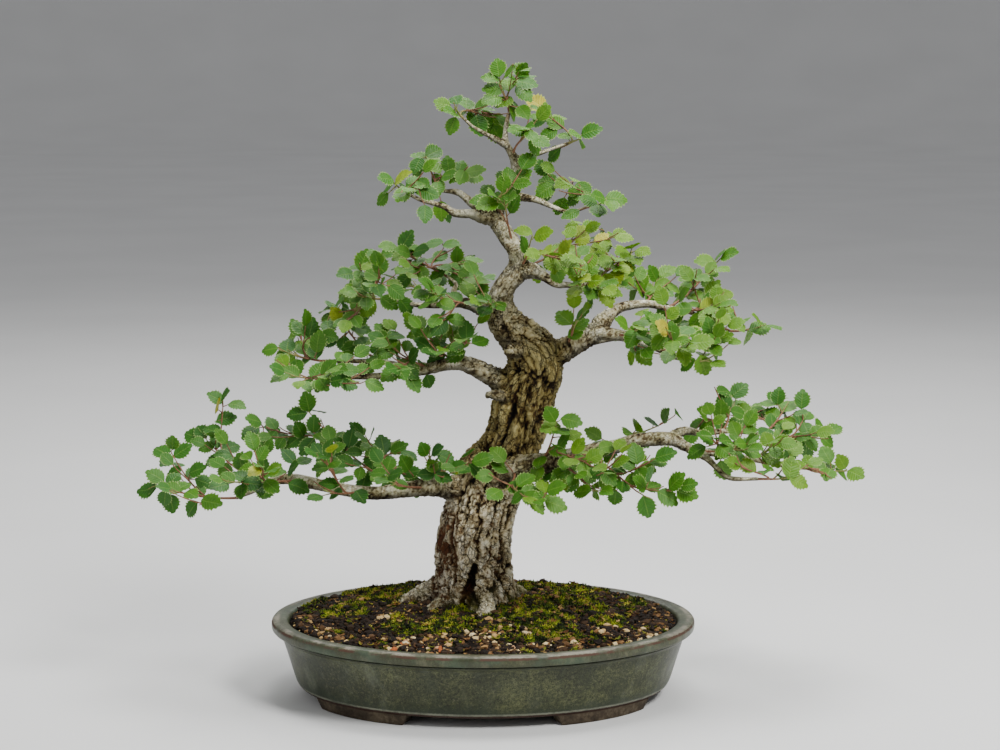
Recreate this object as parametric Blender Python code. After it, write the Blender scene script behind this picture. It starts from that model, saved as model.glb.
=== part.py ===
"""Winged elm bonsai in an oval glazed pot, with roots, limbs, leafy sprays and a mounded bed of grit."""

import math
import random

import bmesh
import bpy
from mathutils import Matrix, Vector, noise
from mathutils.bvhtree import BVHTree

# Driving dimensions, in metres
POT_LENGTH = 0.400
POT_WIDTH = 0.295
POT_HEIGHT = 0.074
FOOT_HEIGHT = 0.009
BODY_TAPER = 0.0220
WALL_LEAN = 0.0135
FLOOR_THICKNESS = 0.009
LIP_DROP = 0.0115
INNER_WALL_INSET = 0.0165
FLOOR_INSET = 0.0360
FOOT_ARC_DEG = (27, 67)
FOOT_OUTER_INSET = BODY_TAPER + 0.0045
FOOT_INNER_INSET = BODY_TAPER + 0.0240
FOOT_OVERLAP = 0.002
DRAIN_HOLE_RADIUS = 0.010
DRAIN_HOLE_OFFSET = 0.085
DRILL_LENGTH = 0.04
SCREEN_SIDE = 0.034
SCREEN_THICKNESS = 0.001
SCREEN_HOLE = 0.009
SCREEN_PITCH = 0.0135
SCREEN_LIFT = 0.0003
FIT_GAP = 0.0005
SOIL_BELOW_RIM = 0.0050
SOIL_MOUND = 0.0130
SOIL_EDGE_INSET = 0.0150
GRIT_RELIEF = 0.0032
LUMPS_PER_METRE = 190
TRUNK_FOOT_DEPTH = 0.020
TRUNK_FOOT_STEP = 0.012
FLUTES = 7
FLUTE_RELIEF = 0.07
SWELL_RELIEF = 0.12
SWELLS_ROUND = 1.9
LEAF_LENGTH = 0.0215
LEAF_WIDTH_SHARE = 0.74
LEAF_THICKNESS = 0.0010
LEAF_ROOT_THICKNESS = 0.0006
LEAF_FOLD = 0.16
LEAF_ARCH = 0.16
LEAF_SPREAD_DEG = (48, 66)
LEAF_DROOP_DEG = (2, 22)
LEAF_ROLL_DEG = 22
END_LEAF_SWAY_DEG = 12
LEAF_SPACING = 0.0125
LEAFY_SHARE = 0.75
TURN_DEPTH = 0.115
TURN_REACH = 0.030
TWIG_TIP_RADIUS = 0.0010
TWIG_ROOT_RADIUS = 0.0016
WOOD_GAP = 0.0004
STEM_PULL = 0.33
STEM_LEAVE = 0.6
STEM_RISE = 0.25
BRANCHING_SLOPE = 1.6

# Tessellation
OVAL_SIDES = 32
SOIL_RINGS = 6
TRUNK_SIDES = 14
LIMB_SIDES = 5
ROOT_SIDES = 6
TWIG_SIDES = 3
STEM_SEGMENTS = (3, 2)
FOOT_STEPS = 5
DRILL_SIDES = 12
BRANCHING_STEPS = 8

# Front view in which the tree's routes are drawn: a 1000 x 750 picture
# Depths are in metres behind the pot's middle
VIEW_CENTRE_PX = (500.0, 375.0)
VIEW_FOCAL_PX = 2376.0
VIEW_EYE = Vector((0.016, -2.190, 0.640))
VIEW_PITCH = math.radians(8.7)

# Routes are lists of (across px, down px, depth m, diameter m)
TRUNK = [
    (476, 600, 0.032, 0.078), (475, 585, 0.032, 0.075), (474, 568, 0.032, 0.070), (474, 540, 0.030, 0.069),
    (480, 512, 0.030, 0.069), (489, 484, 0.029, 0.067), (506, 455, 0.026, 0.056), (517, 430, 0.022, 0.053),
    (522, 408, 0.018, 0.055), (528, 387, 0.015, 0.053), (535, 368, 0.012, 0.050), (532, 352, 0.009, 0.047),
    (520, 338, 0.006, 0.038), (508, 326, 0.003, 0.033), (501, 312, 0.000, 0.028), (501, 298, -0.003, 0.022),
    (507, 284, -0.005, 0.019), (516, 273, -0.004, 0.020), (519, 262, -0.002, 0.017),
    (515, 249, 0.001, 0.016), (506, 235, 0.005, 0.017), (498, 221, 0.009, 0.016), (499, 208, 0.011, 0.012),
    (507, 194, 0.009, 0.0115), (514, 181, 0.006, 0.0105), (516, 170, 0.004, 0.0095),
    (513, 156, 0.002, 0.008), (506, 143, 0.000, 0.0062), (506, 127, 0.000, 0.0050),
    (509, 112, 0.000, 0.0040),
]
LIMBS = {
    "low_left": [
        (468, 489, 0.024, 0.021), (440, 487, 0.012, 0.018), (411, 489, 0.006, 0.0145),
        (376, 493, 0.000, 0.0125), (351, 491, -0.004, 0.012), (325, 486, -0.006, 0.011),
        (302, 481, -0.004, 0.012), (286, 479, 0.000, 0.010), (270, 482, 0.000, 0.008),
        (254, 490, -0.004, 0.0055), (236, 498, -0.008, 0.0035),
    ],
    "low_right": [
        (490, 478, 0.020, 0.026), (512, 470, -0.004, 0.023), (535, 466, -0.014, 0.020),
        (560, 460, -0.020, 0.017), (590, 452, -0.024, 0.015), (614, 447, -0.026, 0.013),
        (636, 441, -0.026, 0.013), (658, 439, -0.024, 0.0135), (674, 440, -0.020, 0.012),
        (686, 447, -0.018, 0.009), (704, 452, -0.016, 0.0065), (744, 458, -0.010, 0.005),
        (786, 466, -0.005, 0.0036), (812, 469, -0.002, 0.0026),
    ],
    "low_right_upper": [
        (668, 439, -0.021, 0.008), (684, 431, -0.008, 0.007), (702, 433, 0.010, 0.006),
        (733, 431, 0.030, 0.0045), (765, 435, 0.040, 0.0034),
    ],
    "low_right_lower": [
        (680, 443, -0.019, 0.007), (696, 452, -0.028, 0.0065), (708, 459, -0.036, 0.006),
        (717, 468, -0.042, 0.005), (730, 478, -0.045, 0.0044), (758, 479, -0.045, 0.003),
    ],
    "mid_left": [
        (522, 392, 0.014, 0.024), (505, 383, 0.010, 0.021), (490, 375, 0.008, 0.018),
        (474, 367, 0.006, 0.016), (460, 363, 0.006, 0.014), (444, 365, 0.008, 0.012),
        (425, 370, 0.010, 0.010), (405, 373, 0.010, 0.008), (380, 376, 0.008, 0.0065),
        (350, 377, 0.005, 0.005), (322, 378, 0.002, 0.0034),
    ],
    "mid_left_back": [
        (432, 368, 0.010, 0.0075), (405, 366, 0.030, 0.006), (380, 362, 0.040, 0.005),
        (350, 361, 0.045, 0.004), (322, 361, 0.045, 0.0028),
    ],
    "high_left": [
        (499, 313, 0.001, 0.017), (484, 308, 0.006, 0.012), (469, 304, 0.012, 0.010),
        (457, 303, 0.018, 0.0085), (440, 305, 0.024, 0.0065), (418, 305, 0.030, 0.0048),
        (398, 301, 0.036, 0.0036), (380, 299, 0.040, 0.0026),
    ],
    "high_left_back": [
        (462, 303, 0.016, 0.006), (454, 292, 0.036, 0.0048), (456, 284, 0.052, 0.0036),
        (448, 277, 0.068, 0.0028),
    ],
    "mid_right": [
        (536, 362, 0.011, 0.024), (557, 354, 0.010, 0.021), (579, 342, 0.008, 0.019),
        (597, 333, 0.006, 0.016), (609, 334, 0.000, 0.012), (627, 337, -0.008, 0.010),
        (645, 343, -0.014, 0.008), (659, 349, -0.018, 0.0065), (672, 356, -0.022, 0.005),
        (690, 361, -0.025, 0.003),
    ],
    "mid_right_upper": [
        (592, 335, 0.007, 0.013), (604, 321, 0.012, 0.012), (614, 311, 0.018, 0.010),
        (626, 306, 0.024, 0.0085), (648, 304, 0.032, 0.007), (666, 308, 0.038, 0.0055),
        (689, 312, 0.042, 0.004), (710, 322, 0.040, 0.003), (730, 331, 0.036, 0.0024),
    ],
    "high_right": [
        (517, 270, -0.003, 0.015), (533, 271, -0.008, 0.0105), (545, 277, -0.014, 0.0085),
        (556, 284, -0.018, 0.007), (568, 285, -0.020, 0.0055), (580, 286, -0.020, 0.0046),
        (595, 279, -0.012, 0.0036), (608, 270, -0.004, 0.0026),
    ],
    "top_left": [
        (497, 219, 0.009, 0.013), (484, 217, 0.004, 0.010), (470, 214, 0.000, 0.008),
        (455, 213, -0.004, 0.0072), (443, 206, -0.006, 0.005), (421, 200, -0.008, 0.0038),
        (405, 192, -0.008, 0.0026),
    ],
    "top_left_back": [
        (494, 219, 0.010, 0.010), (473, 204, 0.018, 0.0075), (459, 193, 0.028, 0.006),
        (445, 191, 0.036, 0.0036), (432, 189, 0.042, 0.0026),
    ],
    "top_right": [
        (505, 201, 0.010, 0.009), (517, 197, 0.004, 0.0065), (536, 200, 0.000, 0.0055),
        (555, 208, -0.004, 0.004), (570, 212, -0.006, 0.003), (588, 207, -0.006, 0.0024),
    ],
    "crown_right": [
        (512, 160, 0.003, 0.0065), (522, 158, 0.002, 0.0048), (537, 154, 0.004, 0.0036),
        (555, 148, 0.006, 0.0028), (568, 143, 0.008, 0.0022),
    ],
    "crown_left": [
        (507, 146, 0.000, 0.006), (497, 140, -0.004, 0.0045), (484, 133, -0.008, 0.0035),
        (472, 126, -0.010, 0.0028), (463, 118, -0.010, 0.0022),
    ],
    "back_low_right": [
        (496, 470, 0.040, 0.016), (512, 470, 0.072, 0.011), (532, 470, 0.102, 0.0075),
        (552, 468, 0.128, 0.0045),
    ],
    "back_low_left": [
        (480, 500, 0.044, 0.015), (460, 488, 0.075, 0.010), (438, 478, 0.102, 0.007),
        (415, 472, 0.128, 0.0042),
    ],
    "back_mid_right": [
        (534, 362, 0.020, 0.015), (556, 352, 0.052, 0.011), (585, 343, 0.082, 0.008),
        (615, 338, 0.108, 0.0055), (640, 335, 0.126, 0.0035),
    ],
    "back_high_left": [
        (503, 318, 0.004, 0.012), (484, 311, 0.036, 0.0085), (458, 303, 0.070, 0.006),
        (432, 294, 0.100, 0.0038),
    ],
}

# Each spray grows from one limb; its tips are (across px, down px, depth m), the leading tip first
SPRAYS = {
    "low_left_1": ("low_left", [(158, 485, -0.020), (171, 452, 0.020), (199, 505, -0.045)]),
    "low_left_2": ("low_left", [(204, 437, 0.065), (223, 400, 0.075)]),
    "low_left_3": ("low_left", [(228, 480, -0.055), (262, 468, -0.060)]),
    "low_left_4": ("low_left", [(308, 411, 0.060), (264, 427, 0.085)]),
    "low_left_5": ("low_left", [(324, 490, -0.070), (325, 458, -0.045)]),
    "low_left_6": ("low_left", [(362, 435, 0.045), (385, 455, 0.040)]),
    "low_left_7": ("low_left", [(388, 480, -0.055)]),
    "low_left_8": ("low_left", [(428, 455, 0.000), (444, 476, -0.045), (471, 461, -0.040)]),
    "low_right_1": ("low_right", [(557, 422, -0.040), (592, 462, -0.065)]),
    "low_right_2": ("low_right", [(506, 490, -0.070), (541, 502, -0.085)]),
    "low_right_3": ("low_right", [(601, 493, -0.088), (612, 465, -0.075)]),
    "low_right_4": ("low_right", [(652, 499, -0.090), (677, 490, -0.080), (645, 464, -0.065)]),
    "low_right_5": ("low_right", [(642, 428, 0.030), (674, 416, 0.050)]),
    "low_right_6": ("low_right_upper", [(732, 396, 0.070), (705, 418, 0.055)]),
    "low_right_7": ("low_right_upper", [(789, 401, 0.080), (752, 412, 0.085)]),
    "low_right_8": ("low_right_upper", [(826, 434, 0.055), (803, 420, 0.070)]),
    "low_right_9": ("low_right", [(748, 445, -0.045), (716, 440, -0.055)]),
    "low_right_10": ("low_right", [(772, 448, -0.020), (764, 468, -0.032)]),
    "low_right_11": ("low_right", [(847, 470, 0.010), (822, 474, -0.015)]),
    "low_right_12": ("low_right_lower", [(791, 477, -0.060), (735, 463, -0.078)]),
    "mid_left_1": ("mid_left", [(291, 375, -0.020), (333, 371, -0.045), (359, 382, -0.060)]),
    "mid_left_2": ("mid_left_back", [(286, 352, 0.050), (300, 334, 0.080)]),
    "mid_left_3": ("mid_left_back", [(337, 311, 0.100), (352, 325, 0.085)]),
    "mid_left_4": ("mid_left", [(385, 342, -0.005), (397, 368, -0.050)]),
    "mid_left_5": ("mid_left", [(424, 330, 0.030), (437, 352, -0.045)]),
    "mid_left_6": ("mid_left", [(450, 333, 0.010), (467, 341, -0.030)]),
    "high_left_1": (
        "high_left",
        [(366, 298, 0.044), (356, 313, 0.040), (360, 270, 0.075), (380, 276, 0.012)],
    ),
    "high_left_2": (
        "high_left_back",
        [(397, 247, 0.085), (418, 268, 0.060), (444, 247, 0.100), (462, 263, 0.085), (478, 279, 0.060)],
    ),
    "high_left_3": ("high_left", [(428, 292, -0.020), (446, 319, -0.015)]),
    "high_left_4": ("trunk", [(485, 301, -0.032)]),
    "mid_right_1": ("mid_right", [(577, 318, -0.020)]),
    "mid_right_2": ("mid_right_upper", [(657, 280, 0.080), (640, 290, 0.055)]),
    "mid_right_3": ("mid_right_upper", [(716, 260, 0.085), (688, 282, 0.090)]),
    "mid_right_4": ("mid_right_upper", [(718, 306, 0.015), (700, 298, 0.060)]),
    "mid_right_5": ("mid_right_upper", [(764, 325, 0.034), (735, 320, 0.020)]),
    "mid_right_6": ("mid_right", [(709, 360, -0.035), (712, 340, -0.015)]),
    "mid_right_7": ("mid_right", [(638, 328, -0.065), (637, 354, -0.055)]),
    "mid_right_8": ("mid_right", [(690, 345, -0.060), (668, 334, -0.070)]),
    "high_right_1": ("high_right", [(532, 236, -0.035), (560, 256, -0.050)]),
    "high_right_2": ("high_right", [(600, 285, -0.050), (578, 272, -0.060)]),
    "high_right_3": ("high_right", [(583, 231, 0.045), (612, 237, 0.055)]),
    "high_right_4": ("high_right", [(632, 253, 0.015), (618, 262, -0.020)]),
    "top_left_1": ("top_left", [(393, 182, -0.012), (412, 188, -0.040)]),
    "top_left_2": ("top_left_back", [(426, 156, 0.055), (464, 173, 0.050)]),
    "top_left_3": ("trunk", [(504, 200, -0.030)]),
    "top_right_1": ("top_right", [(606, 201, -0.020), (572, 184, 0.035)]),
    "crown_right_1": ("crown_right", [(581, 138, 0.012), (544, 110, 0.035)]),
    "crown_left_1": ("crown_left", [(454, 107, -0.012), (484, 111, 0.028)]),
    "crown_1": ("trunk", [(499, 79, 0.000), (516, 76, 0.018)]),
    "crown_2": ("trunk", [(529, 128, -0.032)]),
    "back_low_1": ("back_low_right", [(585, 456, 0.150), (548, 476, 0.160)]),
    "back_low_2": ("back_low_left", [(383, 462, 0.150), (430, 474, 0.158)]),
    "back_mid_1": ("back_mid_right", [(686, 325, 0.140), (652, 332, 0.160)]),
    "back_high_1": ("back_high_left", [(408, 283, 0.130), (436, 279, 0.122)]),
}

# Surface roots: (direction round the trunk in degrees, 270 being the front; reach m; diameter m)
ROOTS = [
    (188, 0.082, 0.030), (236, 0.060, 0.024), (289, 0.068, 0.032), (338, 0.058, 0.024),
    (28, 0.070, 0.028), (82, 0.062, 0.026), (132, 0.066, 0.026),
]

# Steps along a surface root: (share of the reach, height over the grit m, share of the diameter)
ROOT_STEPS = [(0.06, 0.034, 1.10), (0.45, 0.014, 1.00), (0.72, 0.003, 0.68), (1.0, -0.012, 0.38)]

# Half outline of a leaf, a tooth and the notch after it in turn: (share of the length, share of the half width)
LEAF_EDGE = [(0.31, 1.00), (0.41, 0.82), (0.68, 0.90), (0.76, 0.58)]
LEAVES_ON_LEADING_TIP = 3
LEAVES_ON_OTHER_TIPS = 2
LEAF_CLEARANCE = 0.0006
LEAF_CLEAR_START = 0.14
PLACING_TRIES = 14
SHRINK_PER_TRY = 0.98

COLOURS = {
    "glaze": ((0.16, 0.19, 0.15), 0.38),
    "grit": ((0.16, 0.11, 0.07), 0.95),
    "bark": ((0.30, 0.24, 0.17), 0.90),
    "leaf": ((0.13, 0.27, 0.06), 0.55),
    "screen": ((0.03, 0.03, 0.03), 0.60),
}


def clear_scene():
    for obj in list(bpy.data.objects):
        bpy.data.objects.remove(obj, do_unlink=True)


def material(name):
    found = bpy.data.materials.get(name)
    if found is None:
        colour, roughness = COLOURS[name]
        found = bpy.data.materials.new(name)
        found.use_nodes = True
        shader = found.node_tree.nodes["Principled BSDF"]
        shader.inputs["Base Color"].default_value = (*colour, 1.0)
        shader.inputs["Roughness"].default_value = roughness
        shader.inputs["Metallic"].default_value = 0.0
    return found


def new_collection(name, shown=True):
    made = bpy.data.collections.new(name)
    made.hide_render = not shown
    bpy.context.scene.collection.children.link(made)
    return made


def add_object(name, mesh, collection, material_name=None):
    obj = bpy.data.objects.new(name, mesh)
    collection.objects.link(obj)
    if material_name:
        mesh.materials.clear()
        mesh.materials.append(material(material_name))
    return obj


def sight(across, down, depth):
    """The point that the front view shows at a pixel, at a depth behind the pot's middle."""
    right = (across - VIEW_CENTRE_PX[0]) / VIEW_FOCAL_PX
    up = (VIEW_CENTRE_PX[1] - down) / VIEW_FOCAL_PX
    forward = math.cos(VIEW_PITCH) + up * math.sin(VIEW_PITCH)
    rise = up * math.cos(VIEW_PITCH) - math.sin(VIEW_PITCH)
    reach = (depth - VIEW_EYE.y) / forward
    return Vector((VIEW_EYE.x + right * reach, depth, VIEW_EYE.z + rise * reach))


def oval(inset, height, sides=OVAL_SIDES):
    """A ring parallel to the rim's outer oval, drawn in by inset."""
    half_x, half_y = POT_LENGTH / 2 - inset, POT_WIDTH / 2 - inset
    turn = [2 * math.pi * i / sides for i in range(sides)]
    return [Vector((half_x * math.cos(angle), half_y * math.sin(angle), height)) for angle in turn]


def loft(name, rings):
    """A closed mesh through rings of equal count, from the underside's middle to the top's middle."""
    mesh = bpy.data.meshes.new(name)
    shell = bmesh.new()
    rows = [[shell.verts.new(point) for point in ring] for ring in rings]
    count = len(rows[0])
    for lower, upper in zip(rows, rows[1:]):
        for i in range(count):
            j = (i + 1) % count
            shell.faces.new((lower[i], lower[j], upper[j], upper[i]))
    for row, ends in ((rows[0], True), (rows[-1], False)):
        middle = shell.verts.new(sum((v.co for v in row), Vector()) / count)
        for i in range(count):
            j = (i + 1) % count
            shell.faces.new((middle, row[j], row[i]) if ends else (middle, row[i], row[j]))
    bmesh.ops.recalc_face_normals(shell, faces=shell.faces)
    shell.to_mesh(mesh)
    shell.free()
    return mesh


def profile(sides, helpers):
    """The closed outline of a tube's section, of radius 1."""
    name = f"section_{sides}"
    found = bpy.data.objects.get(name)
    if found is None:
        curve = bpy.data.curves.new(name, "CURVE")
        curve.dimensions = "2D"
        spline = curve.splines.new("POLY")
        spline.points.add(sides - 1)
        spline.use_cyclic_u = True
        for i, point in enumerate(spline.points):
            angle = 2 * math.pi * i / sides
            point.co = (math.cos(angle), math.sin(angle), 0, 1)
        found = bpy.data.objects.new(name, curve)
        found.hide_render = True
        found.display_type = "WIRE"
        helpers.objects.link(found)
    return found


def tube_mesh(name, points, radii, sides, helpers):
    """The welded mesh of a curve that tapers along its points."""
    curve = bpy.data.curves.new(name, "CURVE")
    curve.dimensions = "3D"
    curve.bevel_mode = "OBJECT"
    curve.bevel_object = profile(sides, helpers)
    curve.use_fill_caps = True
    spline = curve.splines.new("POLY")
    spline.points.add(len(points) - 1)
    for knot, point, radius in zip(spline.points, points, radii):
        knot.co = (*point, 1)
        knot.radius = radius
    obj = bpy.data.objects.new(name, curve)
    helpers.objects.link(obj)
    bpy.context.view_layer.update()
    evaluated = obj.evaluated_get(bpy.context.evaluated_depsgraph_get())
    mesh = bpy.data.meshes.new_from_object(evaluated)
    bpy.data.objects.remove(obj)
    shell = bmesh.new()
    shell.from_mesh(mesh)
    bmesh.ops.remove_doubles(shell, verts=shell.verts, dist=1e-6)
    bmesh.ops.recalc_face_normals(shell, faces=shell.faces)
    shell.to_mesh(mesh)
    shell.free()
    return mesh


def evaluated_mesh(obj):
    bpy.context.view_layer.update()
    return bpy.data.meshes.new_from_object(obj.evaluated_get(bpy.context.evaluated_depsgraph_get()))


def is_closed(mesh):
    shell = bmesh.new()
    shell.from_mesh(mesh)
    closed = len(shell.edges) > 0 and all(len(edge.link_faces) == 2 for edge in shell.edges)
    shell.free()
    return closed


def apply_boolean(obj, boolean):
    """Applies the Boolean with the first solver that leaves a closed mesh."""
    for solver in ("EXACT", "MANIFOLD"):
        boolean.solver = solver
        mesh = evaluated_mesh(obj)
        if is_closed(mesh):
            break
    obj.modifiers.clear()
    obj.data = mesh


def unite(name, meshes, collection, material_name):
    """One object from overlapping closed meshes, joined by one Boolean union on a collection."""
    obj = add_object(name, meshes[0], collection)
    group = new_collection(name + "_pieces", shown=False)
    for i, mesh in enumerate(meshes[1:]):
        add_object(f"{name}_piece_{i}", mesh, group)
    union = obj.modifiers.new("union", "BOOLEAN")
    union.operation = "UNION"
    union.operand_type = "COLLECTION"
    union.collection = group
    apply_boolean(obj, union)
    for piece in list(group.objects):
        bpy.data.objects.remove(piece, do_unlink=True)
    bpy.data.collections.remove(group)
    obj.data.materials.clear()
    obj.data.materials.append(material(material_name))
    return obj


def cut(obj, cutter_mesh, helpers):
    cutter = add_object(obj.name + "_cutter", cutter_mesh, helpers)
    cutter.hide_render = True
    cutter.display_type = "WIRE"
    difference = obj.modifiers.new("cut", "BOOLEAN")
    difference.operation = "DIFFERENCE"
    difference.object = cutter
    apply_boolean(obj, difference)
    bpy.data.objects.remove(cutter, do_unlink=True)


def keep_largest_body(obj):
    """Drops loose scraps that a cut has left."""
    shell = bmesh.new()
    shell.from_mesh(obj.data)
    left = set(shell.verts)
    bodies = []
    while left:
        front = [left.pop()]
        body = set(front)
        while front:
            for edge in front.pop().link_edges:
                for vert in edge.verts:
                    if vert in left:
                        left.remove(vert)
                        body.add(vert)
                        front.append(vert)
        bodies.append(body)
    bodies.sort(key=len)
    scraps = [vert for body in bodies[:-1] for vert in body]
    bmesh.ops.delete(shell, geom=scraps, context="VERTS")
    shell.to_mesh(obj.data)
    shell.free()


def pot_rings():
    """The pot's section, from the middle of its underside, over the rim, to the middle of its floor."""
    underside = FOOT_HEIGHT
    floor = FOOT_HEIGHT + FLOOR_THICKNESS
    lip = POT_HEIGHT - LIP_DROP
    section = [
        (BODY_TAPER + 0.0060, underside), (BODY_TAPER + 0.0010, underside + 0.0025),
        (BODY_TAPER - 0.0035, 0.028), (0.0085, lip - 0.0012), (0.0022, lip), (0.0000, lip + 0.0030),
        (0.0000, POT_HEIGHT - 0.0030), (0.0022, POT_HEIGHT), (0.0110, POT_HEIGHT),
        (0.0140, POT_HEIGHT - 0.0025), (INNER_WALL_INSET, POT_HEIGHT - 0.0140),
        (INNER_WALL_INSET + WALL_LEAN, floor + 0.0070), (FLOOR_INSET, floor),
    ]
    return [oval(inset, height) for inset, height in section]


def foot_mesh(quarter, helpers):
    """One curved foot under the body, as a flat outline with a thickness."""
    first, last = (math.radians(angle) for angle in FOOT_ARC_DEG)
    sign_x = 1 if quarter in (0, 3) else -1
    sign_y = 1 if quarter in (0, 1) else -1
    angles = [first + (last - first) * i / (FOOT_STEPS - 1) for i in range(FOOT_STEPS)]
    outline = []
    for inset, order in ((FOOT_OUTER_INSET, angles), (FOOT_INNER_INSET, angles[::-1])):
        for angle in order:
            across = (POT_LENGTH / 2 - inset) * math.cos(angle) * sign_x
            along = (POT_WIDTH / 2 - inset) * math.sin(angle) * sign_y
            outline.append((across, along))
    height = FOOT_HEIGHT + FOOT_OVERLAP
    curve = bpy.data.curves.new("foot", "CURVE")
    curve.dimensions = "2D"
    curve.fill_mode = "BOTH"
    curve.extrude = height / 2
    spline = curve.splines.new("POLY")
    spline.use_cyclic_u = True
    spline.points.add(len(outline) - 1)
    for knot, (across, along) in zip(spline.points, outline):
        knot.co = (across, along, 0, 1)
    obj = bpy.data.objects.new("foot", curve)
    helpers.objects.link(obj)
    bpy.context.view_layer.update()
    mesh = bpy.data.meshes.new_from_object(obj.evaluated_get(bpy.context.evaluated_depsgraph_get()))
    bpy.data.objects.remove(obj)
    mesh.transform(Matrix.Translation((0, 0, height / 2)))
    shell = bmesh.new()
    shell.from_mesh(mesh)
    bmesh.ops.remove_doubles(shell, verts=shell.verts, dist=1e-6)
    bmesh.ops.recalc_face_normals(shell, faces=shell.faces)
    shell.to_mesh(mesh)
    shell.free()
    return mesh


def make_pot(collection, helpers):
    body = loft("pot", pot_rings())
    pot = unite("pot", [body] + [foot_mesh(quarter, helpers) for quarter in range(4)], collection, "glaze")
    for side in (-1, 1):
        bpy.ops.mesh.primitive_cylinder_add(
            vertices=DRILL_SIDES, radius=DRAIN_HOLE_RADIUS, depth=DRILL_LENGTH,
            location=(side * DRAIN_HOLE_OFFSET, 0, FOOT_HEIGHT + FLOOR_THICKNESS / 2),
        )
        drill = bpy.context.object
        drill.data.transform(drill.matrix_world)
        cut(pot, drill.data, helpers)
        bpy.data.objects.remove(drill, do_unlink=True)


def make_screen(side, collection, helpers):
    """A drain screen, a thin plate with square holes, lying on the pot's floor."""
    bottom = FOOT_HEIGHT + FLOOR_THICKNESS + SCREEN_LIFT
    middle = Vector((side * DRAIN_HOLE_OFFSET, 0, bottom + SCREEN_THICKNESS / 2))
    size = (SCREEN_SIDE, SCREEN_SIDE, SCREEN_THICKNESS)
    bpy.ops.mesh.primitive_cube_add(size=1, location=middle, scale=size)
    plate = bpy.context.object
    plate.data.transform(plate.matrix_world)
    mesh = plate.data.copy()
    bpy.data.objects.remove(plate, do_unlink=True)
    screen = add_object("drain_screen_" + ("left" if side < 0 else "right"), mesh, collection, "screen")
    for column in (-0.5, 0.5):
        for row in (-0.5, 0.5):
            offset = Vector((column * SCREEN_PITCH, row * SCREEN_PITCH, 0))
            reach = (SCREEN_HOLE, SCREEN_HOLE, 10 * SCREEN_THICKNESS)
            bpy.ops.mesh.primitive_cube_add(size=1, location=middle + offset, scale=reach)
            punch = bpy.context.object
            punch.data.transform(punch.matrix_world)
            cut(screen, punch.data, helpers)
            bpy.data.objects.remove(punch, do_unlink=True)


def soil_height(x, y):
    """The bed's smooth height: just under the rim at the wall, mounded towards the trunk."""
    foot = sight(*TRUNK[0][:3])
    share = math.hypot((x - foot.x * 0.6) / (POT_LENGTH / 2), (y - foot.y * 0.6) / (POT_WIDTH / 2))
    return POT_HEIGHT - SOIL_BELOW_RIM + SOIL_MOUND * max(0.0, 1 - share * share)


def make_soil(collection, helpers, wood_cutter):
    floor = FOOT_HEIGHT + FLOOR_THICKNESS
    rings = [
        oval(FLOOR_INSET + FIT_GAP, floor + 0.0017),
        oval(INNER_WALL_INSET + WALL_LEAN + FIT_GAP, floor + 0.0075),
        oval(INNER_WALL_INSET + FIT_GAP, POT_HEIGHT - 0.0142),
    ]
    for ring in range(SOIL_RINGS):
        share = 1 - ring / SOIL_RINGS
        row = []
        for point in oval(SOIL_EDGE_INSET + FIT_GAP, 0):
            x, y = point.x * share, point.y * share
            grain = noise.noise(Vector((x * LUMPS_PER_METRE, y * LUMPS_PER_METRE, 3.7)))
            lift = 0 if ring == 0 else GRIT_RELIEF * grain
            row.append(Vector((x, y, soil_height(x, y) + lift)))
        rings.append(row)
    soil = add_object("grit_and_soil", loft("grit_and_soil", rings), collection, "grit")
    cut(soil, wood_cutter, helpers)
    keep_largest_body(soil)


def in_triangles(mesh):
    shell = bmesh.new()
    shell.from_mesh(mesh)
    bmesh.ops.triangulate(shell, faces=shell.faces, quad_method="FIXED")
    shell.to_mesh(mesh)
    shell.free()
    return mesh


def trunk_mesh(helpers):
    """The fluted trunk, its foot sunk below the grit."""
    points = [sight(*knot[:3]) for knot in TRUNK]
    radii = [knot[3] / 2 for knot in TRUNK]
    foot = points[0].copy()
    foot.z = soil_height(foot.x, foot.y) - TRUNK_FOOT_DEPTH
    points = [foot] + [p for p in points if p.z > foot.z + TRUNK_FOOT_STEP]
    radii = [radii[0]] + radii[len(radii) - len(points) + 1:]
    mesh = tube_mesh("trunk", points, radii, TRUNK_SIDES, helpers)
    for vert in mesh.vertices:
        near = min(range(len(points)), key=lambda i: (points[i] - vert.co).length)
        out = vert.co - points[near]
        if near in (0, len(points) - 1):
            continue
        angle = math.atan2(out.y, out.x)
        around = Vector((math.cos(angle), math.sin(angle), 0)) * SWELLS_ROUND
        swell = noise.noise(around + Vector((0, 0, near * 0.23)))
        flute = math.cos(FLUTES * angle + near * 0.55)
        vert.co += out.normalized() * (SWELL_RELIEF * swell + FLUTE_RELIEF * flute) * radii[near]
    return in_triangles(mesh)


def root_mesh(root, helpers):
    """A surface root that leaves the trunk and dives into the grit."""
    direction, reach, diameter = root
    foot = sight(*TRUNK[0][:3])
    out = Vector((math.cos(math.radians(direction)), math.sin(math.radians(direction)), 0))
    points = []
    for share, lift, _ in ROOT_STEPS:
        spot = foot + out * reach * share
        points.append(Vector((spot.x, spot.y, soil_height(spot.x, spot.y) + lift)))
    return tube_mesh("root", points, [diameter / 2 * step[2] for step in ROOT_STEPS], ROOT_SIDES, helpers)


def limb_points(name):
    route = TRUNK if name == "trunk" else LIMBS[name]
    return [sight(*knot[:3]) for knot in route]


def limb_mesh(name, helpers):
    return tube_mesh(name, limb_points(name), [knot[3] / 2 for knot in LIMBS[name]], LIMB_SIDES, helpers)


def grow(mesh, extra):
    """Moves every face of a closed mesh outward by extra."""
    shell = bmesh.new()
    shell.from_mesh(mesh)
    moves = [(vert, vert.normal * vert.calc_shell_factor() * extra) for vert in shell.verts]
    for vert, move in moves:
        vert.co += move
    shell.to_mesh(mesh)
    shell.free()
    return mesh


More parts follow.
